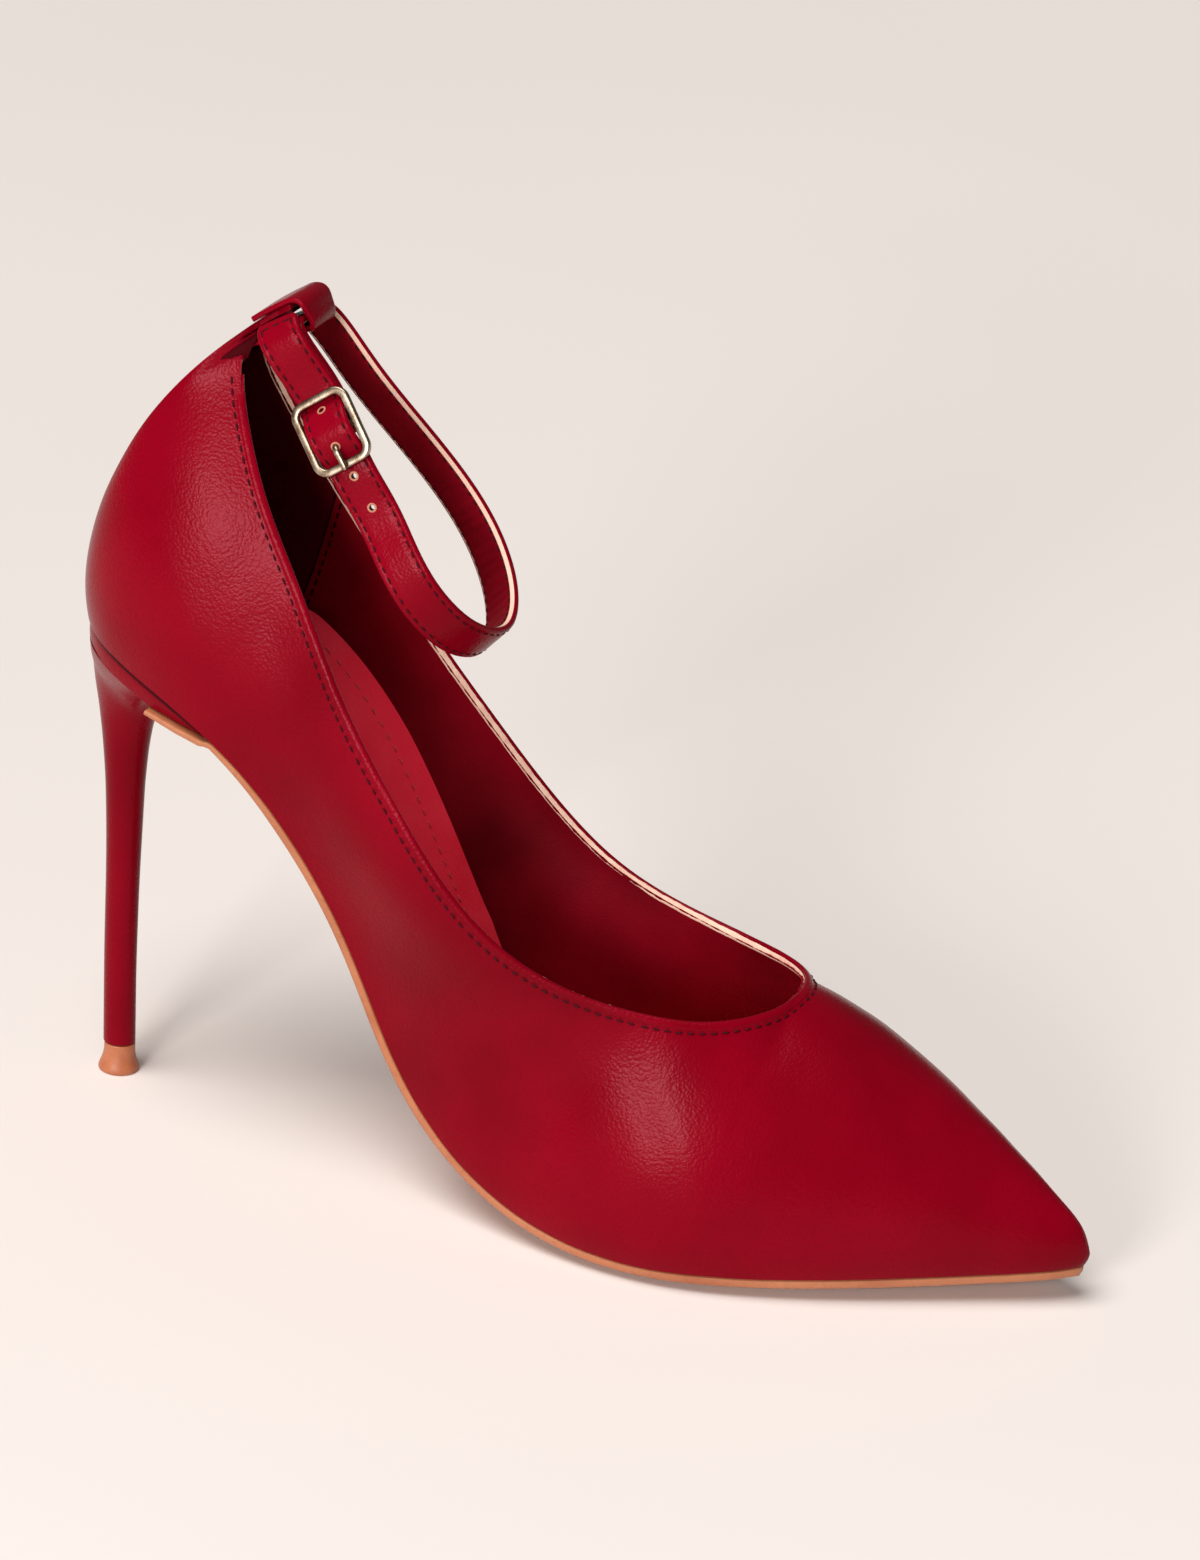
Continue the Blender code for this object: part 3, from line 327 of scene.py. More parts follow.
# The wall's four control points at each station: foot, two between and the top edge.
def wallFrame(side, spots):
    line, out = sideOutline(side)
    marks = lengths(line)
    top = topLine()
    topMarks = lengths(top)
    match = list(last["backMatch"])
    for x, arc in last["sideMatch"]:
        k = np.argmin(np.abs(top[400:, 0] - x)) + 400
        j = np.argmin(np.abs(line[:, 0] - arc))
        match.append((marks[j], topMarks[k]))
    match = np.array(match)
    spots = np.asarray(spots, float)
    throat, openShare = match[-1, 0], last["throatSpot"]
    g = np.clip((spots - openShare) / (1 - openShare), 0, 1)
    at = np.minimum(spots / openShare, 1) * throat + g * (marks[-1] - throat)
    plan = atLength(line, marks, at)
    normal = unit(atLength(out, marks, at))
    slope = bottom(plan[:, 0])[2]
    ahead = np.stack([np.cos(slope), 0 * slope, np.sin(slope)], 1)
    up = np.stack([-np.sin(slope), 0 * slope, np.cos(slope)], 1)
    away = normal[:, :1] * ahead + normal[:, 1:] * np.array([0, 1.0, 0])
    foot = onBottom(plan, 0)
    edge = atLength(top, topMarks, np.interp(at, match[:, 0], match[:, 1]))
    vamp = spots >= openShare
    ridge = curve(last["ridge"], 400)
    ridgeMarks = lengths(ridge)
    along = atLength(ridge, ridgeMarks, g[vamp] * ridgeMarks[-1])
    edge[vamp] = np.stack([along[:, 0], toeLean(along[:, 0]) * side, along[:, 1]], 1)
    edge[:, 1] *= side
    shape = ease(last["wallShape"], plan[:, 0], (1, 2, 3, 4))
    turn = np.where(vamp, g**6, 0)[:, None]
    across = np.array([0, side, 0])
    sideways = np.where(vamp[:, None], across * (1 - turn) + ahead * turn, away)
    low = foot + shape[:, 0:1] * away + shape[:, 1:2] * up
    high = edge + shape[:, 2:3] * sideways - shape[:, 3:4] * up
    width = np.abs(foot[:, 1])
    swell = (width / np.interp(throat, marks, np.abs(line[:, 1])))[:, None]
    fullLow = foot + last["vampFoot"][0] * swell * away + last["vampFoot"][1] * up
    fullSide = last["vampTop"] * swell[:, 0]
    least, most = np.full(len(at), 0.2), np.ones(len(at))
    for _ in range(40):                      # halves the way to where the full curve meets the edge
        t = (least + most) / 2
        y = (1 - t)**3 * width + 3 * (1 - t)**2 * t * np.abs(fullLow[:, 1]) + 3 * (1 - t) * t * t * fullSide
        wide = y > np.abs(edge[:, 1])
        least, most = np.where(wide, t, least), np.where(wide, most, t)
    t = t[:, None]
    reach = 3 * (1 - t) * t * t + t**3
    ridgeAt = (edge - (1 - t)**3 * foot - 3 * (1 - t)**2 * t * fullLow) / reach
    fullHigh = ridgeAt * (1, 0, 1) + fullSide[:, None] * across
    cutLow = foot + (fullLow - foot) * t
    cutMid = fullLow + (fullHigh - fullLow) * t
    cutHigh = cutLow + (cutMid - cutLow) * t
    blend = smooth((plan[:, 0] - last["cutFrom"]) / (last["cutFull"] - last["cutFrom"]))
    blend = np.where(vamp, 0, blend)[:, None]
    low = low * (1 - blend) + cutLow * blend
    high = high * (1 - blend) + cutHigh * blend
    return foot, low, high, edge


def bezier(frameOf, w):                      # w is heights x spots
    a, b, c, d = [q[None] for q in frameOf]
    w = w[..., None]
    return (1 - w)**3 * a + 3 * (1 - w)**2 * w * b + 3 * (1 - w) * w * w * c + w**3 * d


# Beside the tab the edge runs along the wall's own direction, so clearer neighbours lend their normals.
lend = {"above": 140, "behind": 36, "clear": 0.75, "lenders": 12}


# Points and outward normals of the wall, rows run from the sole up to the edge.
def wallSheet(side, spots, heights):
    step = 0.002
    here = wallFrame(side, spots)
    p = bezier(here, heights)
    ahead = bezier(wallFrame(side, np.clip(spots + step, 0, 1)), heights)
    onward = ahead - bezier(wallFrame(side, np.clip(spots - step, 0, 1)), heights)
    upward = bezier(here, np.clip(heights + step, 0, 1)) - bezier(here, np.clip(heights - step, 0, 1))
    n = np.cross(upward, onward) * side
    clear = np.linalg.norm(n, axis=-1) / np.linalg.norm(upward, axis=-1) / np.linalg.norm(onward, axis=-1)
    n = unit(n)
    back = (p[..., 2] > lend["above"]) & (p[..., 0] < lend["behind"])
    good = np.argwhere(back & (clear > lend["clear"]))
    if len(good):
        near = treeOf([p[i, j] for i, j in good])
        for i, j in np.argwhere(back & (clear <= lend["clear"])):
            found = near.find_n(p[i, j], lend["lenders"])
            lent = [(n[tuple(good[k])], 1 / (d + 0.5)**2) for _, k, d in found]
            n[i, j] = unit(sum(q * w for q, w in lent))
    rise = upward[:, 0]
    n[:, 0] = unit(np.stack([-rise[:, 2], 0 * rise[:, 0], rise[:, 0]], 1))
    vamp = np.nonzero(spots >= last["throatSpot"])[0]
    if len(vamp):
        run = np.gradient(p[-1, vamp], axis=0)
        n[-1, vamp] = unit(np.stack([-run[:, 2], 0 * run[:, 0], run[:, 0]], 1))
    return p, n


# Evens out the wall on both sides of the throat's station, over about reach stations.
def easeThroat(p, spots, reach=9):
    middle = int((spots <= last["throatSpot"]).sum()) - 1
    for _ in range(3):
        wide = np.pad(p, ((0, 0), (reach, reach), (0, 0)), mode="edge")
        mean = sum(wide[:, k:k + p.shape[1]] for k in range(2 * reach + 1)) / (2 * reach + 1)
        near = smooth(1.6 - np.abs(np.arange(p.shape[1]) - middle) / (reach * 1.6))[None, :, None]
        p = p + (mean - p) * near
    return p


# Heights that lie at given depths below the edge, in mm, whatever the wall's own height.
def heightsBelow(side, spots, depths, rows, start):
    fine = np.linspace(0, 1, 161)[:, None] * np.ones(len(spots))
    p = bezier(wallFrame(side, spots), fine)
    heights = np.empty((rows, len(spots)))
    for j, spot in enumerate(spots):
        marks = lengths(p[:, j])
        whole = marks[-1]
        g = smooth((spot - last["throatSpot"]) / 0.08)
        near = np.array([d for d in depths if d < whole * 0.4])
        near = near if len(near) else np.array([start])
        rest = np.linspace(near[-1], whole, rows - len(near) + 1)[1:]
        own = np.concatenate([near, rest])
        even = np.linspace(0, whole, rows)
        own = own * (1 - g) + even * g
        own[0] = start * (1 - smooth((spot - last["throatSpot"] + 0.03) / 0.03))
        heights[:, j] = np.interp(whole - own[::-1], marks, fine[:, 0])
    heights[0] = 0
    return heights


def roundTrip(values, times, reach):         # evens out values along a closed line
    for _ in range(times):
        values = sum(np.roll(values, k, axis=0) for k in range(-reach, reach + 1)) / (2 * reach + 1)
    return values


# Closed line along the whole top edge: throat, outer side, tab, inner side.
half = topLine()
loopLine = np.vstack([(half * (1, -1, 1))[::-1], half[1:-1]])
loopLine = np.vstack([loopLine, loopLine[:1]])
loopMarks = lengths(loopLine)
loopCount = 1600
edgeStep = loopMarks[-1] / loopCount
edgeLine = roundTrip(atLength(loopLine, loopMarks, np.arange(loopCount) * loopMarks[-1] / loopCount), 2, 3)
print("last, top edge", round(loopMarks[-1], 1))


# Upper

upper = {
    "leatherThick": 0.95,
    "openSpots": 300,
    "toeSpots": 70,
    "rows": 54,
    "edgeRows": 11, "easeRows": 12, "footRows": 4,   # rows kept at the edge, eased in, eased at the foot
    "creases": [   # start, end (mm in the frame of the heel tip), width, depth; below zero is a ridge
        ((118, -25, 40), (128, -31, 24), 5.0, 0.22),
        ((126, -26, 36), (134, -32, 22), 4.0, -0.12),
        ((30, -17, 118), (44, -21, 96), 5.0, 0.22),
        ((40, -19, 116), (56, -23, 88), 5.0, -0.16),
        ((14, -20, 128), (30, -24, 104), 7.0, 0.16),
    ],
}

openSpots = last["throatSpot"] * np.interp(
    np.linspace(0, 1, upper["openSpots"]), [0, 0.12, 0.28, 0.72, 1], [0, 0.05, 0.16, 0.80, 1])
toeSpots = last["throatSpot"] + (1 - last["throatSpot"]) * np.interp(
    np.linspace(0, 1, upper["toeSpots"] + 1)[1:], [0, 0.7, 1], [0, 0.8, 1])
allSpots = np.concatenate([openSpots, toeSpots])


def toSegment(p, a, b):
    a, b = np.array(a, float), np.array(b, float)
    t = np.clip(((p - a) @ (b - a)) / ((b - a) @ (b - a)), 0, 1)
    return np.linalg.norm(p - a - t[..., None] * (b - a), axis=-1), t


def creased(p, n):                           # the soft wrinkles and waves of worn leather
    lift = np.zeros(p.shape[:2])
    for a, b, width, depth in upper["creases"]:
        d, t = toSegment(p, a, b)
        lift -= depth * np.exp(-(d / width)**2 * 2) * (0.5 + 0.5 * np.sin(np.pi * t))
    x, y, z = p[..., 0], p[..., 1], p[..., 2]
    lift += 0.045 * np.sin(x * 0.21 + z * 0.13 + 1.3 * np.sin(z * 0.11 + y * 0.2))
    lift += 0.03 * np.sin(x * 0.37 - z * 0.29 + 1.1 * np.sin(x * 0.17))
    return p + n * lift[..., None]


# A wall with its two faces, merged over the top edge and along the toe's middle line.
def shell(name, spots, innerShare, outerDepth, innerDepth, start, rows, innerRows, wave):
    toe = last["throatSpot"]
    inner = np.where(spots > toe, toe + (spots - toe) * innerShare, spots)
    outer = spots
    if outerDepth:
        outer = np.where(spots > toe, toe + (spots - toe) * (innerShare + 0.02), spots)
    openCount = int((spots <= toe).sum())
    halves = []
    near = start + np.array([0, 0.5, 1.0, 1.5, 2.0, 2.5, 3.2, 4.2])
    for side in (-1, 1):
        h1 = heightsBelow(side, outer, near, rows, start)
        h2 = heightsBelow(side, inner, [start], innerRows, start)
        p1, n1 = wallSheet(side, outer, h1)
        p2, n2 = wallSheet(side, inner, h2)
        n1[1:-1], n2[1:-1] = easeThroat(n1, outer)[1:-1], easeThroat(n2, inner)[1:-1]
        upRow = np.arange(rows)
        below = smooth((rows - upper["edgeRows"] - upRow) / upper["easeRows"])
        below = (below * smooth(upRow / upper["footRows"]))[:, None, None]
        p1 = p1 + (easeThroat(p1, outer, 6) - p1) * below
        p1 = p1 - n1 * outerDepth
        if wave:
            p1 = creased(p1, n1)
        p2 = p2 - n2 * innerDepth
        for p in (p1, p2):                   # both sides close on the toe's middle line
            if p is p2 or outerDepth:
                p[:, -1, 1] = toeLean(p[:, -1, 0])
        points = np.concatenate([p1, p2[::-1], p1[:1]])
        piece = sheet(name + "_half", points)
        # The strip over the top edge is wanted only where the shoe is open.
        faces = np.zeros((points.shape[0] - 1, len(spots) - 1), bool)
        faces[rows - 1, openCount - 1:] = True
        dropFaces(piece, faces.reshape(-1))
        halves.append(piece)
    return merge(name, *halves, angle=60)


upperLeather = shell("upper_leather", allSpots, innerShare=0.9, outerDepth=0.0,
                     innerDepth=upper["leatherThick"], start=0.5, rows=upper["rows"], innerRows=14,
                     wave=True)
print("upper leather", len(upperLeather.data.polygons))

liningSpots = np.concatenate([openSpots[::2], toeSpots[1::2]])
upperLining = shell("upper_lining", liningSpots, innerShare=0.83, outerDepth=1.0,
                    innerDepth=last["wall"], start=0.8, rows=12, innerRows=40, wave=False)
print("upper lining", len(upperLining.data.polygons))


# The outer wall up to its very edge, for laying bands and stitches on it.
wallSpots, wallNormals, wallFaces = [], [], []
for side in (-1, 1):
    p, n = wallSheet(side, allSpots, heightsBelow(side, allSpots, np.linspace(0, 4.5, 10), 40, 0.0))
    p = creased(p, n)
    rows, columns = p.shape[:2]
    base = sum(len(q) for q in wallSpots)
    wallSpots.append(p.reshape(-1, 3))
    wallNormals.append(n.reshape(-1, 3))
    for i in range(rows - 1):
        for j in range(columns - 1):
            a = base + i * columns + j
            wallFaces.append((a, a + 1, a + columns + 1, a + columns))
wallSpots, wallNormals = np.vstack(wallSpots), np.vstack(wallNormals)
wallTree = BVHTree.FromPolygons(wallSpots.tolist(), wallFaces)
wallKd = treeOf(wallSpots)


def wallNormalAt(spot):
    near = wallKd.find_n(spot, 5)
    weights = np.array([1 / (d + 0.05) for _, _, d in near])
    return unit((wallNormals[[k for _, k, _ in near]] * weights[:, None]).sum(0))


edgeWay = unit(np.roll(edgeLine, -2, axis=0) - np.roll(edgeLine, 2, axis=0))
edgeOut = unit(roundTrip(np.array([wallNormalAt(q) for q in edgeLine]), 3, 5))
edgeOut = unit(edgeOut - edgeWay * (edgeOut * edgeWay).sum(1)[:, None])
edgeRise = unit(np.cross(edgeWay, edgeOut))


def belowEdge(marks, depth):                 # points on the wall at a depth below the edge
    found = []
    for k in marks:
        q = edgeLine[k] - edgeRise[k] * depth
        found.append(np.array(wallTree.find_nearest(q)[0]))
    return np.array(found)


# Folded top edge, raw lining edge and stitches

topline = {
    "foldDepth": 1.75, "foldBulge": 0.2, "stitchDepth": 2.2, "stitchPitch": 2.15, "tabSkip": 24.0,
    "stitchLong": 1.6, "stitchThick": 0.5,
    # rise over the edge, way inwards, and for the raw edge its share of wobble
    "foldOver": [(0.03, 0.08), (0.12, 0.3), (0.14, 0.52), (0.08, 0.78), (-0.12, 0.95), (-0.6, 1.0),
                 (-1.2, 0.99)],
    "raw": [(-0.12, 0.98, 0.6), (-0.2, 1.15, 1.0), (-0.55, 1.5, 0.9), (-1.0, 1.84, 1.0), (-1.35, 1.82, 0.3),
            (-1.35, 1.0, 0)],
}

skip = int(topline["tabSkip"] / edgeStep)
every = np.arange(loopCount // 2 + skip, loopCount + loopCount // 2 - skip, 2) % loopCount
taper = smooth(np.minimum(np.arange(len(every)), np.arange(len(every))[::-1]) / 12)[:, None]
foot, proud = topline["foldDepth"], topline["foldBulge"]
foldLevels = [(foot + 0.12, -0.22), (foot - 0.1, 0.04), (1.35, proud - 0.04), (0.95, proud),
              (0.55, proud - 0.04), (0.22, 0.04)]   # depth below the edge, lift off the wall
section = []
for depth, lift in foldLevels:
    section.append(belowEdge(every, depth) + edgeOut[every] * (lift * taper - 0.3 * (1 - taper)))
for rise, inward in topline["foldOver"]:
    section.append(edgeLine[every] + edgeRise[every] * rise - edgeOut[every] * inward)
section.append(section[0] - edgeOut[every] * 0.4)
section.append(section[0])
foldPoints = np.stack(section, 1)
along = np.arange(len(foldPoints)) * edgeStep * 2
foldLay = np.stack([np.repeat(along[:, None], foldPoints.shape[1], 1),
                    np.repeat(np.linspace(0, 1, foldPoints.shape[1])[None], len(foldPoints), 0),
                    np.zeros(foldPoints.shape[:2])], -1)
toplineFold = merge("topline_fold", sheet("topline_fold", foldPoints, foldLay), caps=True, angle=60)

wobble = 0.08 * np.sin(along * 0.9) + 0.06 * np.sin(along * 2.3 + 1) + 0.04 * np.sin(along * 5.1 + 2)
wobble = wobble[:, None]
rawSection = []
for rise, inward, shake in topline["raw"]:
    rawSection.append(edgeLine[every] + edgeRise[every] * (rise + wobble * shake) - edgeOut[every] * inward)
rawSection.append(rawSection[0])
rawPoints = np.stack(rawSection, 1)
rawEdge = merge("lining_raw_edge", sheet("lining_raw_edge", rawPoints), caps=True, angle=35)


# One thread stitch, modelled once and copied along a row.
def stitchRow(name, spots, ways, outs, long, thick):
    deselect()
    bpy.ops.mesh.primitive_uv_sphere_add(segments=8, ring_count=6, radius=0.5)
    first = bpy.context.object
    bpy.ops.object.mode_set(mode="EDIT")
    bpy.ops.transform.resize(value=(long, thick, thick))
    bpy.ops.object.mode_set(mode="OBJECT")
    copies = []
    for spot, way, out in zip(spots, ways, outs):
        side = np.cross(out, way)
        turn = Matrix(np.stack([way, side, out], 1).tolist()).to_4x4()
        copy = first.copy()
        copy.data = first.data.copy()
        bpy.context.collection.objects.link(copy)
        copy.data.transform(Matrix.Translation((spot + move) * 0.001) @ turn @ Matrix.Scale(0.001, 4))
        copies.append(copy)
    bpy.data.objects.remove(first)
    pick(*copies)
    bpy.ops.object.join()
    piece = named(name)
    bpy.ops.object.shade_smooth()
    return piece


stitchCount = int((loopMarks[-1] - 2 * topline["tabSkip"]) / topline["stitchPitch"])
stitchAt = every[((np.arange(stitchCount) + 0.5) * len(every) / stitchCount).astype(int)]
toplineStitches = stitchRow(
    "topline_stitches", belowEdge(stitchAt, topline["stitchDepth"]) + edgeOut[stitchAt] * 0.02,
    edgeWay[stitchAt], edgeOut[stitchAt], topline["stitchLong"], topline["stitchThick"])
print("topline", len(toplineFold.data.polygons), "stitches", stitchCount)

# Sole, sock and heel


# Plate between the two sides of the outline; the section is walked from side to side and back.
def plate(name, inset, underInset, topLift, underLift, start, end, ribs, crown, bulge, eased, wallRise):
    columns = 41
    walks = []
    for side in (-1, 1):
        line, out = sideOutline(side)
        middle = np.interp(line[:, 0], [0, 190, last["arc"]], [0, 0, last["toeLean"]])
        inner = line - out * inset
        beyond = (inner[:, 1] * side <= middle * side + 0.4) & (line[:, 0] > 200)
        crossed = np.nonzero(beyond | (inner[:, 0] > end))[0]
        finish = crossed[0] if len(crossed) else len(line)
        first = 0 if start <= 0 else np.argmax(inner[:, 0] > start)
        part, outs = line[first:finish], out[first:finish]
        marks = lengths(part)
        share = np.interp(np.linspace(0, 1, ribs), [0, 0.12, 0.85, 1], [0, 0.06, 0.88, 1])
        share = share * marks[-1]
        walks.append((atLength(part, marks, share), unit(atLength(outs, marks, share))))
    (lineA, outA), (lineB, outB) = walks

    def between(amount):
        a, b = lineA - outA * amount, lineB - outB * amount
        f = 0.5 - 0.5 * np.cos(np.pi * np.linspace(0, 1, columns))
        f = (f + np.linspace(0, 1, columns) * 2) / 3
        return a[:, None] * (1 - f[:, None]) + b[:, None] * f[:, None], f

    topPlan, f = between(inset + eased)
    underPlan, _ = between(underInset + eased)
    over = 1 - (2 * f - 1)**2
    top = onBottom(topPlan, topLift(topPlan[..., 0]) + wallRise(topPlan[..., 0]) * (1 - over))
    underHeight = underLift(underPlan[..., 0]) - crown(underPlan[..., 0]) * np.minimum(1, over * 1.6)
    under = onBottom(underPlan, underHeight)
    under[..., 2] = np.maximum(under[..., 2], 0)

    def rim(line, out, t, rise):
        amount = inset + (underInset - inset) * t - bulge * math.sin(math.pi * t)
        plan = line - out * amount
        lift = (topLift(plan[:, 0]) + wallRise(plan[:, 0])) * (1 - t) + underLift(plan[:, 0]) * t
        return onBottom(plan, lift + rise)

    rims = ((0, -eased), (0.25, 0), (0.5, 0), (0.75, 0), (1, eased))
    rightRim = [rim(lineB, outB, t, r) for t, r in rims]
    leftRim = [rim(lineA, outA, t, r) for t, r in rims[::-1]]
    points = np.concatenate([top] + [r[:, None] for r in rightRim] + [under[:, ::-1]]
                            + [r[:, None] for r in leftRim] + [top[:, :1]], 1)
    points[..., 2] = np.maximum(points[..., 2], 0)
    arc = np.repeat(lineA[:, :1], points.shape[1], 1)
    kind = np.concatenate([np.zeros(columns), np.full(5, 1.0), np.full(columns, 2.0), np.full(6, 1.0)])
    kind[-1] = 0
    kind = np.repeat(kind[None], ribs, 0)
    away = np.minimum(np.linalg.norm(points - points[:, :1], axis=-1),
                      np.linalg.norm(points - points[:, columns - 1:columns], axis=-1))
    piece = sheet(name, points, np.stack([arc, away, kind], -1))
    return merge(name, piece, caps=True, angle=50), (lineA, outA, lineB, outB)


sock = {
    "thick": 2.2, "end": 240.0, "clear": 0.4,
    "rim": [(4, 0), (16, 6), (35, 10.5), (60, 11), (100, 10.5), (118, 8), (150, 1), (165, 0)],
    "stitchIn": 3.1, "stitchPitch": 2.6, "stitchLong": 1.7, "stitchThick": 0.4,
}
sole = {
    "thick": 2.0, "breastThick": 1.2, "start": 24.0, "seatEnd": 37.5, "gap": 0.3,
    "cup": [(0, 4.6), (12, 4.5), (24, 4.1), (32, 2.5), (37.5, 0.9)],
    "crown": [(24, 0.2), (60, 0.3), (110, 0.6), (140, 1.6), (160, 2.2), (195, 2.3), (225, 1.2), (255, 0.2)],
}


def reading(rows, at):                       # a table of (place, value), read in between
    return np.interp(at, [r[0] for r in rows], [r[1] for r in rows])


def cupDrop(arc):                            # depth of the heel's cup under the seat
    return reading(sole["cup"], arc)


def breastDrop(s):                           # behind the seat's end the sole lies under the heel's cup
    return np.where(s < sole["seatEnd"] + 1,
                    sole["gap"] + cupDrop(s) * np.clip(sole["seatEnd"] + 1 - s, 0, 1), 0)


def sockRim(s):                              # how far the sock's edges rise up the wall
    return reading(sock["rim"], s)


def soleUnder(s):
    return -sole["gap"] - np.interp(s, [24, 60], [sole["breastThick"], sole["thick"]]) - breastDrop(s)


def zero(s):
    return 0 * s


sockInset = last["wall"] + sock["clear"]
sockPiece, sockSides = plate(
    "sock", sockInset, sockInset, topLift=lambda s: zero(s) + sock["thick"], underLift=zero, start=0,
    end=sock["end"], ribs=200, crown=zero, bulge=0.0, eased=0.3, wallRise=sockRim)
solePiece, _ = plate(
    "outsole_leather", 0.2, 0.7, topLift=lambda s: -sole["gap"] - breastDrop(s), underLift=soleUnder,
    start=sole["start"], end=256, ribs=220, crown=lambda s: reading(sole["crown"], s), bulge=0.12, eased=0.2,
    wallRise=zero)

rows = []
for line, out in (sockSides[:2], sockSides[2:]):
    inner = line - out * (sockInset + sock["stitchIn"])
    keep = (line[:, 0] > 6) & (line[:, 0] < 226)
    inner = inner[keep]
    marks = lengths(inner)
    at = np.arange(1.0, marks[-1], sock["stitchPitch"])
    plan = atLength(inner, marks, at)
    half = np.abs(sockSides[0][:, 1] - sockSides[2][:, 1]) / 2
    half = np.interp(plan[:, 0], sockSides[0][:, 0], half) - last["wall"] - 0.7
    inward = 1 - (sock["stitchIn"] - 0.3) / half
    spots = onBottom(plan, sock["thick"] + 0.1 + sockRim(plan[:, 0]) * inward**2)
    ways = unit(np.gradient(spots, axis=0))
    slope = bottom(plan[:, 0])[2]
    tilt = np.arctan(2 * sockRim(plan[:, 0]) * inward / half)
    side = -np.sign(line[0, 1] + line[len(line) // 2, 1])
    outs = np.stack([-np.sin(slope) * np.cos(tilt), side * np.sin(tilt), np.cos(slope) * np.cos(tilt)], 1)
    outs = unit(outs - ways * (outs * ways).sum(1)[:, None])
    rows.append((spots, ways, outs))
sockStitches = stitchRow("sock_stitches", *[np.vstack([r[k] for r in rows]) for k in range(3)],
                         sock["stitchLong"], sock["stitchThick"])
print("sock and sole", len(sockPiece.data.polygons), len(solePiece.data.polygons))

heel = {   # rows: back x and z, front x and z, half the width, roundness
    "rows": [(-10.0, 97.6, 9.9, 89.9, 17.4, 0.15), (-10.0, 94.6, 6.6, 86.2, 12.9, 0.5),
             (-9.7, 91.2, 4.7, 82.7, 9.2, 0.8), (-9.3, 86.4, 3.4, 79.2, 6.7, 1.0),
             (-8.3, 79.8, 2.6, 75.0, 5.1, 1.0), (-7.2, 72.2, 2.1, 69.8, 4.3, 1.0),
             (-6.1, 62.0, 1.8, 61.4, 3.8, 1.0), (-5.2, 46.0, 1.8, 46.0, 3.4, 1.0),
             (-4.6, 27.0, 2.1, 27.0, 3.2, 1.0), (-3.7, 6.4, 2.9, 6.4, 3.1, 1.0)],
    "sidePoints": 36, "frontPoints": 15, "rings": 90, "seatInset": 0.9,
}
heelTip = {   # height, radius
    "rows": [(6.1, 3.1), (4.2, 3.15), (2.4, 3.5), (1.0, 4.0), (0.4, 4.1), (0.0, 3.8)],
}

halves = []
for side in (-1, 1):
    line, out = sideOutline(side)
    part = (line - out * heel["seatInset"])[:np.argmax(line[:, 0] > sole["seatEnd"])]
    marks = lengths(part)
    halves.append(atLength(part, marks, np.linspace(0, 1, heel["sidePoints"]) * marks[-1]))
a, b = halves
front = a[-1] + (b[-1] - a[-1]) * np.linspace(0, 1, heel["frontPoints"] + 2)[1:-1, None]
plan = np.vstack([a, front, b[::-1][:-1]])
depth, width = plan[:, 0] / sole["seatEnd"], plan[:, 1] / np.abs(plan[:, 1]).max()
turn = np.radians(np.concatenate([
    np.linspace(180, 55, heel["sidePoints"]), np.linspace(55, -55, heel["frontPoints"] + 2)[1:-1],
    np.linspace(-55, -180, heel["sidePoints"])[:-1]]))
roundX, roundY = 0.5 + 0.5 * np.cos(turn), -np.sin(turn)
plan[0, 1] = 0
rings = [onBottom(plan * (1, 0.97), -sole["gap"])]
for share, level in ((0.0, 0.04), (0.12, 0.3), (0.45, 0.6), (1.0, 0.94)):
    forward = 1.2 * share * (1 - np.clip(depth, 0, 1))**2
    tuck = plan * (1, 1 - 0.04 * share) + np.stack([forward, 0 * depth], 1)
    rings.append(onBottom(tuck, -sole["gap"] - cupDrop(plan[:, 0]) * level))
table = np.array(heel["rows"])
marks = lengths(table[:, [0, 1, 2, 3, 4]] * (1, 0.5, 1, 0.5, 1))
fine = np.interp(np.linspace(0, 1, heel["rings"]), [0, 0.6, 1], [0, 0.4, 1]) * marks[-1]
fine[0] = 0
for backX, backZ, frontX, frontZ, halfWidth, roundness in ease(
        np.column_stack([marks, table]), fine, (1, 2, 3, 4, 5, 6)):
    p = depth * (1 - roundness) + roundX * roundness
    q = width * (1 - roundness) + roundY * roundness
    rings.append(np.stack([backX + (frontX - backX) * p, halfWidth * q, backZ + (frontZ - backZ) * p], 1))
rings = np.array(rings)
rings = np.concatenate([rings, rings[:, :1]], 1)
ringTurn = np.concatenate([np.degrees(turn), [-180]])
# Depth down the heel cover from its top, which places the painted shadow under the upper.
heelDeep = np.cumsum(np.linalg.norm(np.diff(rings, axis=0, prepend=rings[:1]), axis=-1), 0)
heelDeep = np.maximum(heelDeep - heelDeep[1], 0)
heelLay = np.stack([np.repeat(ringTurn[None], len(rings), 0), rings[..., 2], heelDeep], -1)
heelPiece = sheet("heel_cover", rings, heelLay)
heelPiece = merge("heel_cover", heelPiece, caps=True, angle=50)

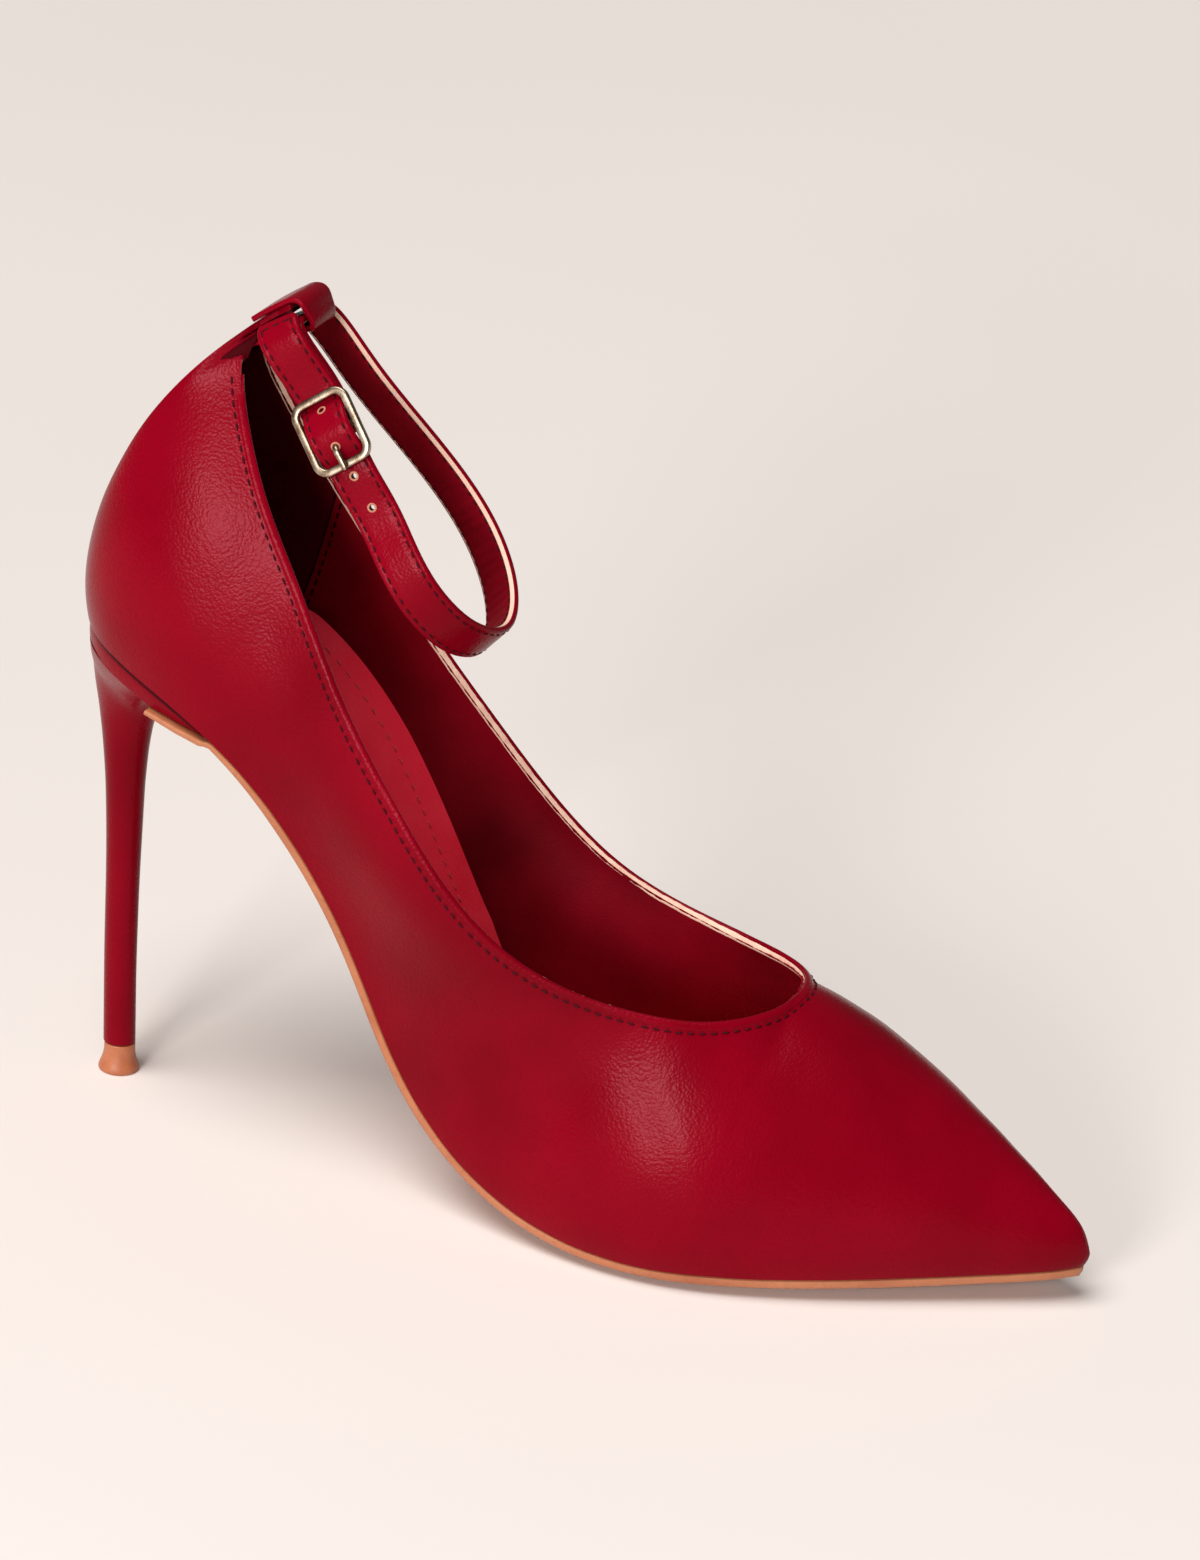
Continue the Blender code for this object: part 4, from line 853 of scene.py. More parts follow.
tipTurn = np.linspace(0, 2 * math.pi, 65)
tipTable = np.array(heelTip["rows"])
tipProfile = [(6.12, 2.6), (6.12, 3.0), (6.0, 3.1)]
tipTable = np.column_stack([-tipTable[:, 0], tipTable])
tipProfile += [(z, r) for z, r in ease(tipTable, np.linspace(-5.8, -0.4, 14), (1, 2))]
tipProfile += [(0.25, 4.05), (0.1, 3.95), (0.0, 3.75), (0.0, 3.0)]
tipRings = np.array([[(tipOffset[0] + r * math.cos(t) * 1.02, tipOffset[1] + r * math.sin(t), z)
                      for t in tipTurn] for z, r in tipProfile])
tipPiece = merge("heel_tip_cap", sheet("heel_tip_cap", tipRings), caps=True, angle=40)
print("heel", len(heelPiece.data.polygons), len(tipPiece.data.polygons))

# Strap and buckle

strap = {
    "width": 9.0, "thick": 1.8, "lining": 0.7, "lean": 10.0,
    "outer": [(0, 0), (0.4, 6.8), (12, 7.4), (24, 10.0), (40, 13.6), (54, 16.6), (65, 12.4), (69.6, 6.0),
              (71, 0)],
    "inner": [(0.4, 6.8), (12, 10.6), (24, 13.2), (40, 17.6), (54, 18.0), (65, 12.4), (69.6, 6.0)],
    "back": (28.0, 166.2), "slope": -51.0, "end": 6.6,
    "stitchIn": 1.25, "stitchPitch": 2.15, "stitchLong": 1.55, "stitchThick": 0.48,
    "holes": (-4.2, 3.0, 10.0, 16.8),
    "holeWide": 1.3,
}
buckle = {
    "length": 15.2, "width": 12.4, "corner": 2.2, "bar": 1.5, "centreBar": 1.3, "at": 29.0, "drop": 1.1,
    "prongAt": 3.0, "prong": 1.0,
}
gap = 0.3                                    # air between the strap and the metal
fall = math.radians(strap["slope"])

# The strap's closed loop, drawn in its own falling plane.
loopPlan = np.array(strap["outer"] + [(p, -w) for p, w in strap["inner"][::-1]] + strap["outer"][:1], float)
tripled = curve(np.vstack([loopPlan[:-1], loopPlan[:-1], loopPlan]), 3601)
third = lengths(tripled)
strapWhole = third[-1] / 3
flat = atLength(tripled, third, strapWhole + np.linspace(0, strapWhole, 1201))
strapBack = np.array([strap["back"][0], 0, strap["back"][1]])
strapLine = (strapBack + flat[:, :1] * np.array([math.cos(fall), 0, math.sin(fall)])
             - flat[:, 1:] * np.array([0, 1.0, 0]))
strapMarks = lengths(strapLine)
strapWhole = strapMarks[-1]


def strapFrame(at):                          # place, way, outward and upward at lengths along the loop
    at = np.asarray(at, float)
    spot = atLength(strapLine, strapMarks, at % strapWhole)
    way = unit(atLength(strapLine, strapMarks, (at + 0.4) % strapWhole)
               - atLength(strapLine, strapMarks, (at - 0.4) % strapWhole))
    up = np.array([-math.sin(fall), 0, math.cos(fall)])
    flatOut = unit(np.cross(way, up))
    nearBack = np.minimum(at % strapWhole, strapWhole - at % strapWhole)
    lean = np.radians(np.interp(nearBack, [0, 8, 24], [7, 8, strap["lean"]]))[..., None]
    return spot, way, flatOut * np.cos(lean) + up * np.sin(lean), up * np.cos(lean) - flatOut * np.sin(lean)


layer = strap["thick"] + gap
frameHeight = layer + strap["thick"] / 2 + gap + buckle["bar"] / 2
centreHeight = frameHeight - buckle["drop"]
buckleSpot, _, out, _ = (q[0] for q in strapFrame([buckle["at"]]))
buckleWay = unit(strapFrame([buckle["at"] + 7])[0][0] - strapFrame([buckle["at"] - 7])[0][0])
buckleOut = unit(out - buckleWay * np.dot(out, buckleWay))
buckleHigh = np.cross(buckleOut, buckleWay)
buckleHigh = -buckleHigh if buckleHigh[2] < 0 else buckleHigh

reach = buckle["length"] / 2 - buckle["bar"] / 2
over = centreHeight + buckle["bar"] / 2 + gap + strap["thick"] / 2
under = centreHeight - buckle["bar"] / 2 - gap - strap["thick"] / 2
at0 = buckle["at"]
# Route of the strip, from the centre bar round the ankle and back: place along the loop, height over it.
path = [(at0 + 1.2, under + 0.35), (at0 + 0.6, under + 0.05), (at0, under), (at0 - 3, under - 0.5),
        (at0 - 6.5, 0.05), (at0 - 9.5, 0)]
path += [(v, 0) for v in np.linspace(at0 - 12, at0 + 22 - strapWhole, 46)]
path += [(v - strapWhole, h) for v, h in (
    (at0 + 18, 0.3), (at0 + 14, 1.0), (at0 + 10.5, layer - 0.35), (at0 + reach + 0.8, layer - 0.05),
    (at0 + reach - 0.8, layer + 0.1), (at0 + 3.6, (layer + over) / 2 + 0.3), (at0 + 1.2, over - 0.02),
    (at0 - 1.2, over - 0.02), (at0 - 3.6, (layer + over) / 2 + 0.3), (at0 - reach + 0.8, layer + 0.1),
    (at0 - reach - 0.8, layer - 0.02), (at0 - reach - 3, layer), (at0 - reach - 6, layer),
    (at0 - reach - 9, layer), (strap["end"], layer))]
path = np.array(path)
pathMarks = lengths(path)
fine = np.linspace(0, pathMarks[-1], 760)
strapAt = np.stack([spline(pathMarks, path[:, k], fine) for k in (0, 1)], 1)
spots, ways, outs, highs = strapFrame(strapAt[:, 0])
centres = spots + outs * strapAt[:, 1:]
tangents = unit(np.gradient(centres, axis=0))
strapOuts = unit(np.cross(tangents, highs) * -1)
strapRun = lengths(centres)

# Section of the outer leather, folded over both edges, with a shallow stitch channel.
w, t = strap["width"] / 2, strap["thick"] / 2
low = -t + strap["lining"]
c = w - strap["stitchIn"]
leatherSection = [(-w + 0.25, low - 0.12), (-w + 0.04, low + 0.1), (-w, low + 0.45), (-w + 0.12, t - 0.32),
                  (-w + 0.38, t - 0.1), (-w + 0.75, t - 0.02), (-c - 0.2, t - 0.1), (-c, t - 0.14),
                  (-c + 0.25, t - 0.08), (-c + 0.7, t)]
leatherSection += [(x, t + 0.02) for x in np.linspace(-2.0, 2.0, 7)]
leatherSection += [(-x, y) for x, y in leatherSection[:10][::-1]]
leatherSection += [(w - 0.9, low - 0.02), (0, low), (-w + 0.9, low - 0.02)]
endRound = np.interp(strapRun, [strapRun[-1] - 1.6, strapRun[-1] - 0.5, strapRun[-1]], [1, 0.985, 0.93])
sections = np.array(leatherSection)[None] * np.stack([endRound, endRound * 0 + 1], 1)[:, None]
strapPiece = sweep("strap_leather", centres, highs, strapOuts, sections, angle=55)

# Section of its lining, a little narrower and rippled where the strap bends.
liningSection = [(w - 0.22, low + 0.02), (w - 0.4, low - 0.22), (w - 0.95, -t + 0.12), (w - 1.3, -t)]
liningSection += [(x, -t + 0.01) for x in np.linspace(2.4, -2.4, 7)]
liningSection += [(-x, y) for x, y in liningSection[:4][::-1]]
liningSection += [(-w + 1, low), (w - 1, low)]
ripple = 0.05 * np.sin(strapRun * 2.6 + 0.8 * np.sin(strapRun * 0.7))
ripple = ripple * smooth((strapRun - 70) / 25) * smooth((150 - strapRun) / 25)
sections = np.repeat(np.array(liningSection)[None], len(centres), 0)
sections[:, 4:11, 1] += ripple[:, None]
sections[..., 0] *= (endRound * 0.99)[:, None]
strapLining = sweep("strap_lining", centres, highs, strapOuts, sections, angle=35)


def alongStrap(run):                         # the strip's own place, way, outward and upward
    steps = np.arange(len(strapRun))
    k = np.interp(run, strapRun, steps)
    place, *ways = (atLength(q, steps, k) for q in (centres, tangents, strapOuts, highs))
    return [place] + [unit(q) for q in ways]


threadSpots = [[], [], []]
runs = np.arange(3.0, strapRun[-1] - 1.2, strap["stitchPitch"])
for edge in (-1, 1):
    p, way, out, high = alongStrap(runs)
    for outward, level in ((1, t - 0.14), (-1, -t + 0.04)):
        threadSpots[0].append(p + high * edge * (w - strap["stitchIn"]) + out * level)
        threadSpots[1].append(way)
        threadSpots[2].append(out * outward)
p, way, out, high = (q[0] for q in alongStrap([strapRun[-1] - 1.3]))
for k in np.linspace(-2.2, 2.2, 3):
    threadSpots[0].append([p + high * k + out * (t - 0.02)])
    threadSpots[1].append([high])
    threadSpots[2].append([out])
strapStitches = stitchRow("strap_stitches", *[np.vstack(q) for q in threadSpots],
                          strap["stitchLong"], strap["stitchThick"])

# Holes are cut through both layers; each has a pale raw rim.
centreRun = strapRun[np.argmin(np.abs(strapAt[:, 0] - (at0 - strapWhole)))]
rims = []
for place in strap["holes"]:
    # Along the near strand, forward of the centre bar is towards the tail's far side.
    p, way, out, high = (q[0] for q in alongStrap([centreRun - place]))
    deselect()
    bpy.ops.mesh.primitive_cylinder_add(vertices=24, radius=strap["holeWide"] * 0.0005, depth=0.004)
    cutter = bpy.context.object
    turnTo = Matrix(np.stack([way, np.cross(out, way), out], 1).tolist()).to_4x4()
    cutter.data.transform(Matrix.Translation((p + move) * 0.001) @ turnTo)
    cutter.hide_render = True
    for target in (strapPiece, strapLining):
        cut = target.modifiers.new("hole", "BOOLEAN")
        cut.operation, cut.solver, cut.object = "DIFFERENCE", "EXACT", cutter
        pick(target)
        bpy.ops.object.modifier_apply(modifier="hole")
    bpy.data.objects.remove(cutter)
    deselect()
    bpy.ops.mesh.primitive_torus_add(major_segments=28, minor_segments=8,
                                     major_radius=strap["holeWide"] * 0.00058, minor_radius=0.0002)
    rim = bpy.context.object
    flatten = Matrix.Scale(0.45, 4, (0, 0, 1))
    rim.data.transform(Matrix.Translation((p + out * t + move) * 0.001) @ turnTo @ flatten)
    rims.append(rim)
pick(*rims)
bpy.ops.object.join()
holeRims = named("strap_hole_rims")
bpy.ops.object.shade_smooth()
print("strap", len(strapPiece.data.polygons), len(strapLining.data.polygons))

# Buckle: rounded rectangle of flat bar with eased edges, dropped centre bar and prong.
length, width = buckle["length"] - buckle["bar"], buckle["width"] - buckle["bar"]
ring = roundBox(length, width, buckle["corner"], 12)
framePath = buckleSpot + buckleOut * frameHeight + ring[:, :1] * buckleWay + ring[:, 1:] * buckleHigh
around = unit(np.roll(framePath, -1, axis=0) - np.roll(framePath, 1, axis=0))
sides = np.cross(around, buckleOut)
barSection = roundBox(buckle["bar"], buckle["bar"] * 0.9, 0.32, 3)
frameOuts = np.repeat(buckleOut[None], len(framePath), 0)
framePiece = sweep("buckle_ring", framePath, sides, frameOuts, barSection, closed=True, angle=40)
half = width / 2 - 0.15
drop = curve([(-half, frameHeight - 0.25), (-half + 0.5, centreHeight + 0.1), (-half + 1.2, centreHeight),
              (0, centreHeight), (half - 1.2, centreHeight), (half - 0.5, centreHeight + 0.1),
              (half, frameHeight - 0.25)], 40)
barPath = buckleSpot + drop[:, :1] * buckleHigh + drop[:, 1:] * buckleOut
barWay = unit(np.gradient(barPath, axis=0))
across = np.repeat(buckleWay[None], len(barPath), 0)
barRound = roundBox(buckle["centreBar"], buckle["centreBar"], 0.6)
centreBar = sweep("buckle_bar", barPath, across, np.cross(barWay, across), barRound, angle=60)

# The prong goes up through the strap's hole and over to the frame: place from the bar, height over it.
hole = buckle["prongAt"]
points = [(1.0, -0.05), (1.9, -0.05), (hole - 0.4, 0.1), (hole, 0.65), (hole, 1.4), (hole, 2.1),
          (hole + 0.25, 2.75), (hole + 1.0, 3.05), (5.4, 2.9), (6.85, 2.72), (7.9, 2.55)]
flat = curve([(f, centreHeight + h) for f, h in points], 70)
prongPath = buckleSpot + flat[:, :1] * buckleWay + flat[:, 1:] * buckleOut
prongWay = unit(np.gradient(prongPath, axis=0))
across = np.repeat(buckleHigh[None], len(prongPath), 0)
taper = np.interp(np.linspace(0, 1, 70), [0, 0.45, 0.6, 0.95, 1], [1, 1, 1.25, 1.15, 0.85])
sections = roundBox(buckle["prong"], buckle["prong"] * 0.85, 0.36)[None]
sections = sections * np.stack([taper, taper**0.3], 1)[:, None]
prongPiece = sweep("buckle_prong_bar", prongPath, across, np.cross(prongWay, across), sections, angle=50)

# Keeper strip, from the tab's outside over its top and down inside, behind the strap.
keeper = {
    "thick": 1.1, "along": (0.85, 0, 0.527), "outside": (8.5, 6.5, 4.5, 2.8, 1.2, 0.0), "off": 0.1,
    "wide": [(0, 1.24), (0.4, 1.24), (0.55, 1), (1, 1)], "steps": 110,   # wider where it shows outside
}
tabWay = unit(np.array(keeper["along"]))
inward = np.array([tabWay[2], 0, -tabWay[0]])
reach = strap["width"] / 2
inner = strap["thick"] / 2 + gap + keeper["thick"] / 2
backSpots = np.array([0.0, 0.001])
tabSpots, tabNormals = wallSheet(1, backSpots, heightsBelow(1, backSpots, [0.4], 80, 0.4))
deep = lengths(tabSpots[::-1, 0])
nearest = [int(np.argmin(np.abs(deep - d))) for d in keeper["outside"]]
outside = (tabSpots[::-1, 0] + tabNormals[::-1, 0] * (keeper["thick"] / 2 + keeper["off"]))[nearest]
flat = np.array([(reach + 0.75, -3.3), (reach + 1.0, -2.0), (reach + 0.95, -0.4), (reach + 0.8, inner - 0.6),
                 (reach + 0.3, inner + 0.15), (reach - 1, inner + 0.1), (0, inner + 0.1),
                 (-reach + 0.5, inner + 0.1), (-reach - 1.0, inner - 0.5), (-reach - 2.4, inner - 1.2),
                 (-reach - 4.0, inner - 1.35)])
inside = strapBack + flat[:, :1] * tabWay + flat[:, 1:] * inward
keeperPath = curve(np.vstack([outside, inside]), keeper["steps"])
keeperPath[:, 1] = 0
keeperWay = unit(np.gradient(keeperPath, axis=0))
acrossY = np.repeat(np.array([[0, 1.0, 0]]), len(keeperPath), 0)
wide = reading(keeper["wide"], np.linspace(0, 1, keeper["steps"]))
sections = roundBox(last["tabHalf"] * 2 - 1.0, keeper["thick"], 0.35, 3)[None]
sections = sections * np.stack([wide, np.ones(keeper["steps"])], 1)[:, None]
keeperPiece = sweep("tab_keeper", keeperPath, acrossY, np.cross(keeperWay, acrossY), sections)
print("buckle", len(framePiece.data.polygons), "keeper", len(keeperPiece.data.polygons))

# Finishes


class Value:                                 # a shader socket that does sums
    def __init__(self, finish, socket):
        self.finish, self.socket = finish, socket

    def sum(self, operation, a, b):
        return self.finish.node("ShaderNodeMath", {"operation": operation}, {0: a, 1: b})

    def __add__(self, other):
        return self.sum("ADD", self, other)

    __radd__ = __add__

    def __sub__(self, other):
        return self.sum("SUBTRACT", self, other)

    def __rsub__(self, other):
        return self.sum("SUBTRACT", other, self)

    def __mul__(self, other):
        return self.sum("MULTIPLY", self, other)

    __rmul__ = __mul__

    def __truediv__(self, other):
        return self.sum("DIVIDE", self, other)

    def __abs__(self):
        return self.finish.node("ShaderNodeMath", {"operation": "ABSOLUTE"}, {0: self})


class Finish:
    def __init__(self, name, **constants):
        self.material = bpy.data.materials.new(name)
        self.material.use_nodes = True
        self.tree = self.material.node_tree
        self.surface = self.tree.nodes["Principled BSDF"]
        for socket, value in constants.items():
            self.surface.inputs[socket.replace("_", " ")].default_value = value
        self.place = self.node("ShaderNodeTexCoord", {}, {}, "Object")

    def node(self, kind, settings, sockets, out=0):
        made = self.tree.nodes.new(kind)
        for key, value in settings.items():
            if key == "stops":
                ramp = made.color_ramp
                while len(ramp.elements) < len(value):
                    ramp.elements.new(0.5)
                for element, (spot, colour) in zip(ramp.elements, value):
                    element.position, element.color = spot, colour
            else:
                setattr(made, key, value)
        for key, value in sockets.items():
            if isinstance(value, Value):
                self.tree.links.new(value.socket, made.inputs[key])
            else:
                made.inputs[key].default_value = value
        return Value(self, made.outputs[out])

    def noise(self, scale, detail=2.0, rough=0.5, where=None):
        return self.node("ShaderNodeTexNoise", {}, {"Vector": where or self.place, "Scale": scale,
                                                     "Detail": detail, "Roughness": rough})

    def ramp(self, value, *stops):
        return self.node("ShaderNodeValToRGB", {"stops": [(s, (v, v, v, 1)) for s, v in stops]}, {0: value})

    def mix(self, share, a, b):
        return self.node("ShaderNodeMix", {"data_type": "RGBA"}, {0: share, 6: a, 7: b}, 2)

    def stretch(self, vector, factors):
        return self.node("ShaderNodeVectorMath", {"operation": "MULTIPLY"}, {0: vector, 1: factors})

    def split(self, vector):
        made = self.node("ShaderNodeSeparateXYZ", {}, {0: vector}).socket.node
        return [Value(self, made.outputs[k]) for k in range(3)]

    def lay(self):                           # along, across and level, in mm
        return self.split(self.node("ShaderNodeAttribute", {"attribute_name": "lay"}, {}, "Vector"))

    def wire(self, **links):
        for socket, value in links.items():
            self.tree.links.new(value.socket, self.surface.inputs[socket.replace("_", " ")])

    def bump(self, height, strength, distance, under=None):
        sockets = {"Height": height, "Strength": strength, "Distance": distance}
        if under:
            sockets["Normal"] = under
        return self.node("ShaderNodeBump", {}, sockets)


def colour(red, green, blue):                # screen colour 0-255 to linear
    return tuple(((c / 255 + 0.055) / 1.055)**2.4 if c > 10 else c / 255 / 12.92
                 for c in (red, green, blue)) + (1,)


leatherLook = {"colour": (132, 1, 23), "deep": (114, 1, 17), "worn": (142, 3, 28),
               "grain": 1700.0, "bump": 0.22, "rough": 0.2}
liningLook = {"colour": (136, 5, 24), "deep": (100, 2, 14), "worn": (150, 12, 32),
              "grain": 2600.0, "bump": 0.2, "rough": 0.46}
# The sock is paler than the lining: partly its own tone, partly painted light so the upward-facing sock
# reads lit.
sockLook = {"colour": (250, 52, 76), "deep": (238, 40, 62), "worn": (252, 88, 104),
            "grain": 2600.0, "bump": 0.2, "rough": 0.42}
gripLook = {   # the seam's line in side view, its thread behind it, stitches in a metre of height
    "x": 33.6, "z": 0.1309, "lean": 0.318, "threadBehind": 1.6, "stitches": 420,
    "colour": (70, 2, 10), "seamLineAndShadow": (24, 0, 3), "thread": (30, 0, 5),
}
rawLook = {"dark": (226, 170, 148), "light": (250, 222, 200), "fibre": 2600}


def leather(name, look, edge=None, seamLineAndShadow=False, grip=False):
    f = Finish(name, Specular_IOR_Level=0.11, Specular_Tint=(1.0, 0.42, 0.48, 1))
    warp = f.noise(look["grain"] * 0.5, 2, 0.5)
    drift = f.node("ShaderNodeTexNoise", {}, {"Vector": f.place, "Scale": 700.0}, "Color")
    drift = f.stretch(drift, (0.0007, 0.0007, 0.0007))
    where = f.node("ShaderNodeVectorMath", {"operation": "ADD"}, {0: f.place, 1: drift})
    grain = f.node("ShaderNodeTexVoronoi", {"feature": "SMOOTH_F1"},
                   {"Vector": where, "Scale": look["grain"], "Smoothness": 0.6})
    fine = f.noise(look["grain"] * 1.6, 3, 0.6)
    soft = f.noise(22, 2, 0.5)
    cloud = f.noise(90, 3, 0.55)
    tone = f.mix(f.ramp(soft, (0.35, 0), (0.7, 1)), colour(*look["deep"]), colour(*look["colour"]))
    tone = f.mix(f.ramp(cloud, (0.4, 0), (0.8, 0.3)), tone, colour(*look["worn"]))
    tone = f.mix(f.ramp(grain, (0.35, 0), (0.75, 0.3)), tone, colour(*look["deep"]))
    rough = look["rough"] + soft * 0.05 + cloud * 0.05 + grain * 0.04
    if edge:                                 # pale raw leather where the piece was cut
        across = f.lay()[1]
        pale = f.ramp(abs(across) / 5, (edge / 5 - 0.01, 0), (edge / 5 + 0.01, 1))
        fibre = f.noise(rawLook["fibre"], 4, 0.7)
        tone = f.mix(pale, tone, f.mix(fibre, colour(*rawLook["dark"]), colour(*rawLook["light"])))
    if grip:                                 # darker heel grip behind a stitched seam
        x, _, z = f.split(f.place)
        seamX = float(move[0] + gripLook["x"]) * 0.001
        ahead = (x - seamX - (z - gripLook["z"]) * gripLook["lean"]) * 1000
        tone = f.mix(f.ramp(ahead / 4 + 0.5, (0.47, 1), (0.5, 0)), tone, colour(*gripLook["colour"]))
        tone = f.mix(f.ramp(abs(ahead) / 2, (0.06, 1), (0.16, 0)), tone, colour(*gripLook["seamLineAndShadow"]))
        beside = abs(ahead - gripLook["threadBehind"])
        dash = f.node("ShaderNodeMath", {"operation": "FRACT"}, {0: z * gripLook["stitches"]})
        stitch = f.ramp(beside / 2, (0.1, 1), (0.16, 0)) * f.ramp(dash, (0.6, 1), (0.66, 0))
        tone = f.mix(stitch, tone, colour(*gripLook["thread"]))
    if seamLineAndShadow:                                 # painted shadow: the heel cover's top rim darkened where the upper overhangs it
        below = f.lay()[2]
        tone = f.mix(f.ramp(below / 5, (0.1, 1), (0.22, 0)), tone, colour(52, 1, 8))
    height = warp * 0.25 + fine * 0.3 - grain
    f.wire(Base_Color=tone, Roughness=rough,
           Normal=f.bump(height, look["bump"], 0.00022, f.bump(cloud, 0.12, 0.0004)))
    return f.material


redLeather = leather("red_leather", leatherLook)
# The heel cover carries a painted shadow along its top, under the upper's overhang.
heelLeather = leather("heel_leather", leatherLook, seamLineAndShadow=True)
liningLeather = leather("lining_leather", liningLook, grip=True)
sockLeather = leather("sock_leather", sockLook)
strapUnder = leather("strap_lining", liningLook, edge=3.5)


def rawLeather(name, light, dark, bright):
    f = Finish(name, Specular_IOR_Level=0.3)
    fibre = f.noise(2600, 4, 0.7)
    blotch = f.noise(300, 3, 0.6)
    tone = f.mix(f.ramp(blotch, (0.4, 0), (0.75, 1)), colour(*light), colour(*dark))
    tone = f.mix(f.ramp(fibre, (0.35, 0.0), (0.7, 0.4)), tone, colour(*bright))
    f.wire(Base_Color=tone, Roughness=0.75 + blotch * 0.15, Normal=f.bump(fibre, 0.5, 0.0002))
    return f.material


def thread(name, dark, light):
    f = Finish(name, Roughness=0.6, Specular_IOR_Level=0.1)
    twist = f.node("ShaderNodeTexWave", {"bands_direction": "DIAGONAL"},
                   {"Vector": f.place, "Scale": 1400, "Distortion": 1.5})
    f.wire(Base_Color=f.mix(f.ramp(twist, (0.3, 0), (0.8, 1)), colour(*dark), colour(*light)),
           Normal=f.bump(twist, 0.4, 0.0001))
    return f.material


def soleLeather():
    f = Finish("tan_sole")
    streak = f.noise(60, 5, 0.65, f.stretch(f.place, (0.3, 1.6, 1.0)))
    speck = f.noise(900, 3, 0.6)
    tone = f.mix(f.ramp(streak, (0.35, 0), (0.7, 1)), colour(172, 98, 62), colour(196, 124, 84))
    tone = f.mix(f.ramp(speck, (0.55, 0), (0.8, 0.35)), tone, colour(132, 66, 40))
    f.wire(Base_Color=tone, Roughness=0.38 + streak * 0.2 + speck * 0.08,
           Normal=f.bump(speck * 0.6 + streak, 0.25, 0.0003))
    return f.material


def capPlastic():
    f = Finish("tan_cap")
    cloud = f.noise(260, 3, 0.6)
    scuff = f.noise(1500, 4, 0.7, f.stretch(f.place, (1, 1, 4)))
    tone = f.mix(f.ramp(cloud, (0.3, 0), (0.75, 1)), colour(168, 92, 58), colour(190, 116, 76))
    f.wire(Base_Color=tone, Roughness=0.34 + scuff * 0.2, Normal=f.bump(scuff, 0.15, 0.0002))
    return f.material


def pewter():
    f = Finish("buckle_metal", Metallic=1.0)
    cloud = f.noise(420, 4, 0.6)
    scratch = f.noise(2600, 3, 0.7, f.stretch(f.place, (1, 1, 0.15)))
    tone = f.mix(f.ramp(cloud, (0.35, 0), (0.7, 1)), colour(128, 106, 86), colour(182, 166, 146))
    f.wire(Base_Color=tone, Roughness=0.2 + cloud * 0.14 + scratch * 0.08,
           Normal=f.bump(scratch, 0.12, 0.0001))
    return f.material


creamEdge = rawLeather("raw_edge", (238, 196, 172), (222, 160, 140), (250, 222, 200))
tanRim = rawLeather("hole_rim", (196, 132, 104), (150, 84, 66), (214, 160, 130))
darkThread = thread("dark_red_thread", (38, 0, 8), (84, 6, 20))
sockThread = thread("sock_thread", (160, 24, 40), (240, 96, 106))
tanSole, tanCap, buckleMetal = soleLeather(), capPlastic(), pewter()

finishPiece(upperLeather, redLeather, "red_leather", "upper")
finishPiece(toplineFold, redLeather, "red_leather", "upper")
finishPiece(upperLining, liningLeather, "lining", "upper")
finishPiece(rawEdge, creamEdge, "lining", "upper")
finishPiece(toplineStitches, darkThread, "red_leather")
finishPiece(sockPiece, sockLeather, "lining", "insole")
finishPiece(sockStitches, sockThread, "lining")
finishPiece(solePiece, tanSole, "tan_sole", "outsole")
finishPiece(heelPiece, heelLeather, "red_leather", "heel")
finishPiece(tipPiece, tanCap, "tan_sole", "heel_tip")
finishPiece(strapPiece, redLeather, "red_leather", "ankle_strap")
finishPiece(strapLining, strapUnder, "lining", "ankle_strap")
finishPiece(strapStitches, darkThread, "red_leather")
finishPiece(holeRims, tanRim, "lining")
finishPiece(framePiece, buckleMetal, "buckle_metal", "buckle_frame")
finishPiece(centreBar, buckleMetal, "buckle_metal", "buckle_frame")
finishPiece(prongPiece, buckleMetal, "buckle_metal", "buckle_prong")
finishPiece(keeperPiece, redLeather, "red_leather", "back_loop")
print("finishes done")

# Floor, light and camera

studio = {
    "floor": (236, 228, 222), "floorCloud": (233, 225, 219), "glow": (1.0, 0.98, 0.965, 1), "glowPower": 0.1,
    "eye": (357.5, -816.7, 454.8), "up": (-0.21818, 0.36594, 0.90467), "lens": 112.0,
    "sunPower": 2.8, "sunWide": 40, "sunTurn": (20, -12), "sunTint": (1.0, 0.985, 0.975),
    "box": {"place": (-0.15, -1.35, 0.5), "target": (-0.06, 0, 0.12), "size": (0.36, 0.34), "power": 12.5},
}

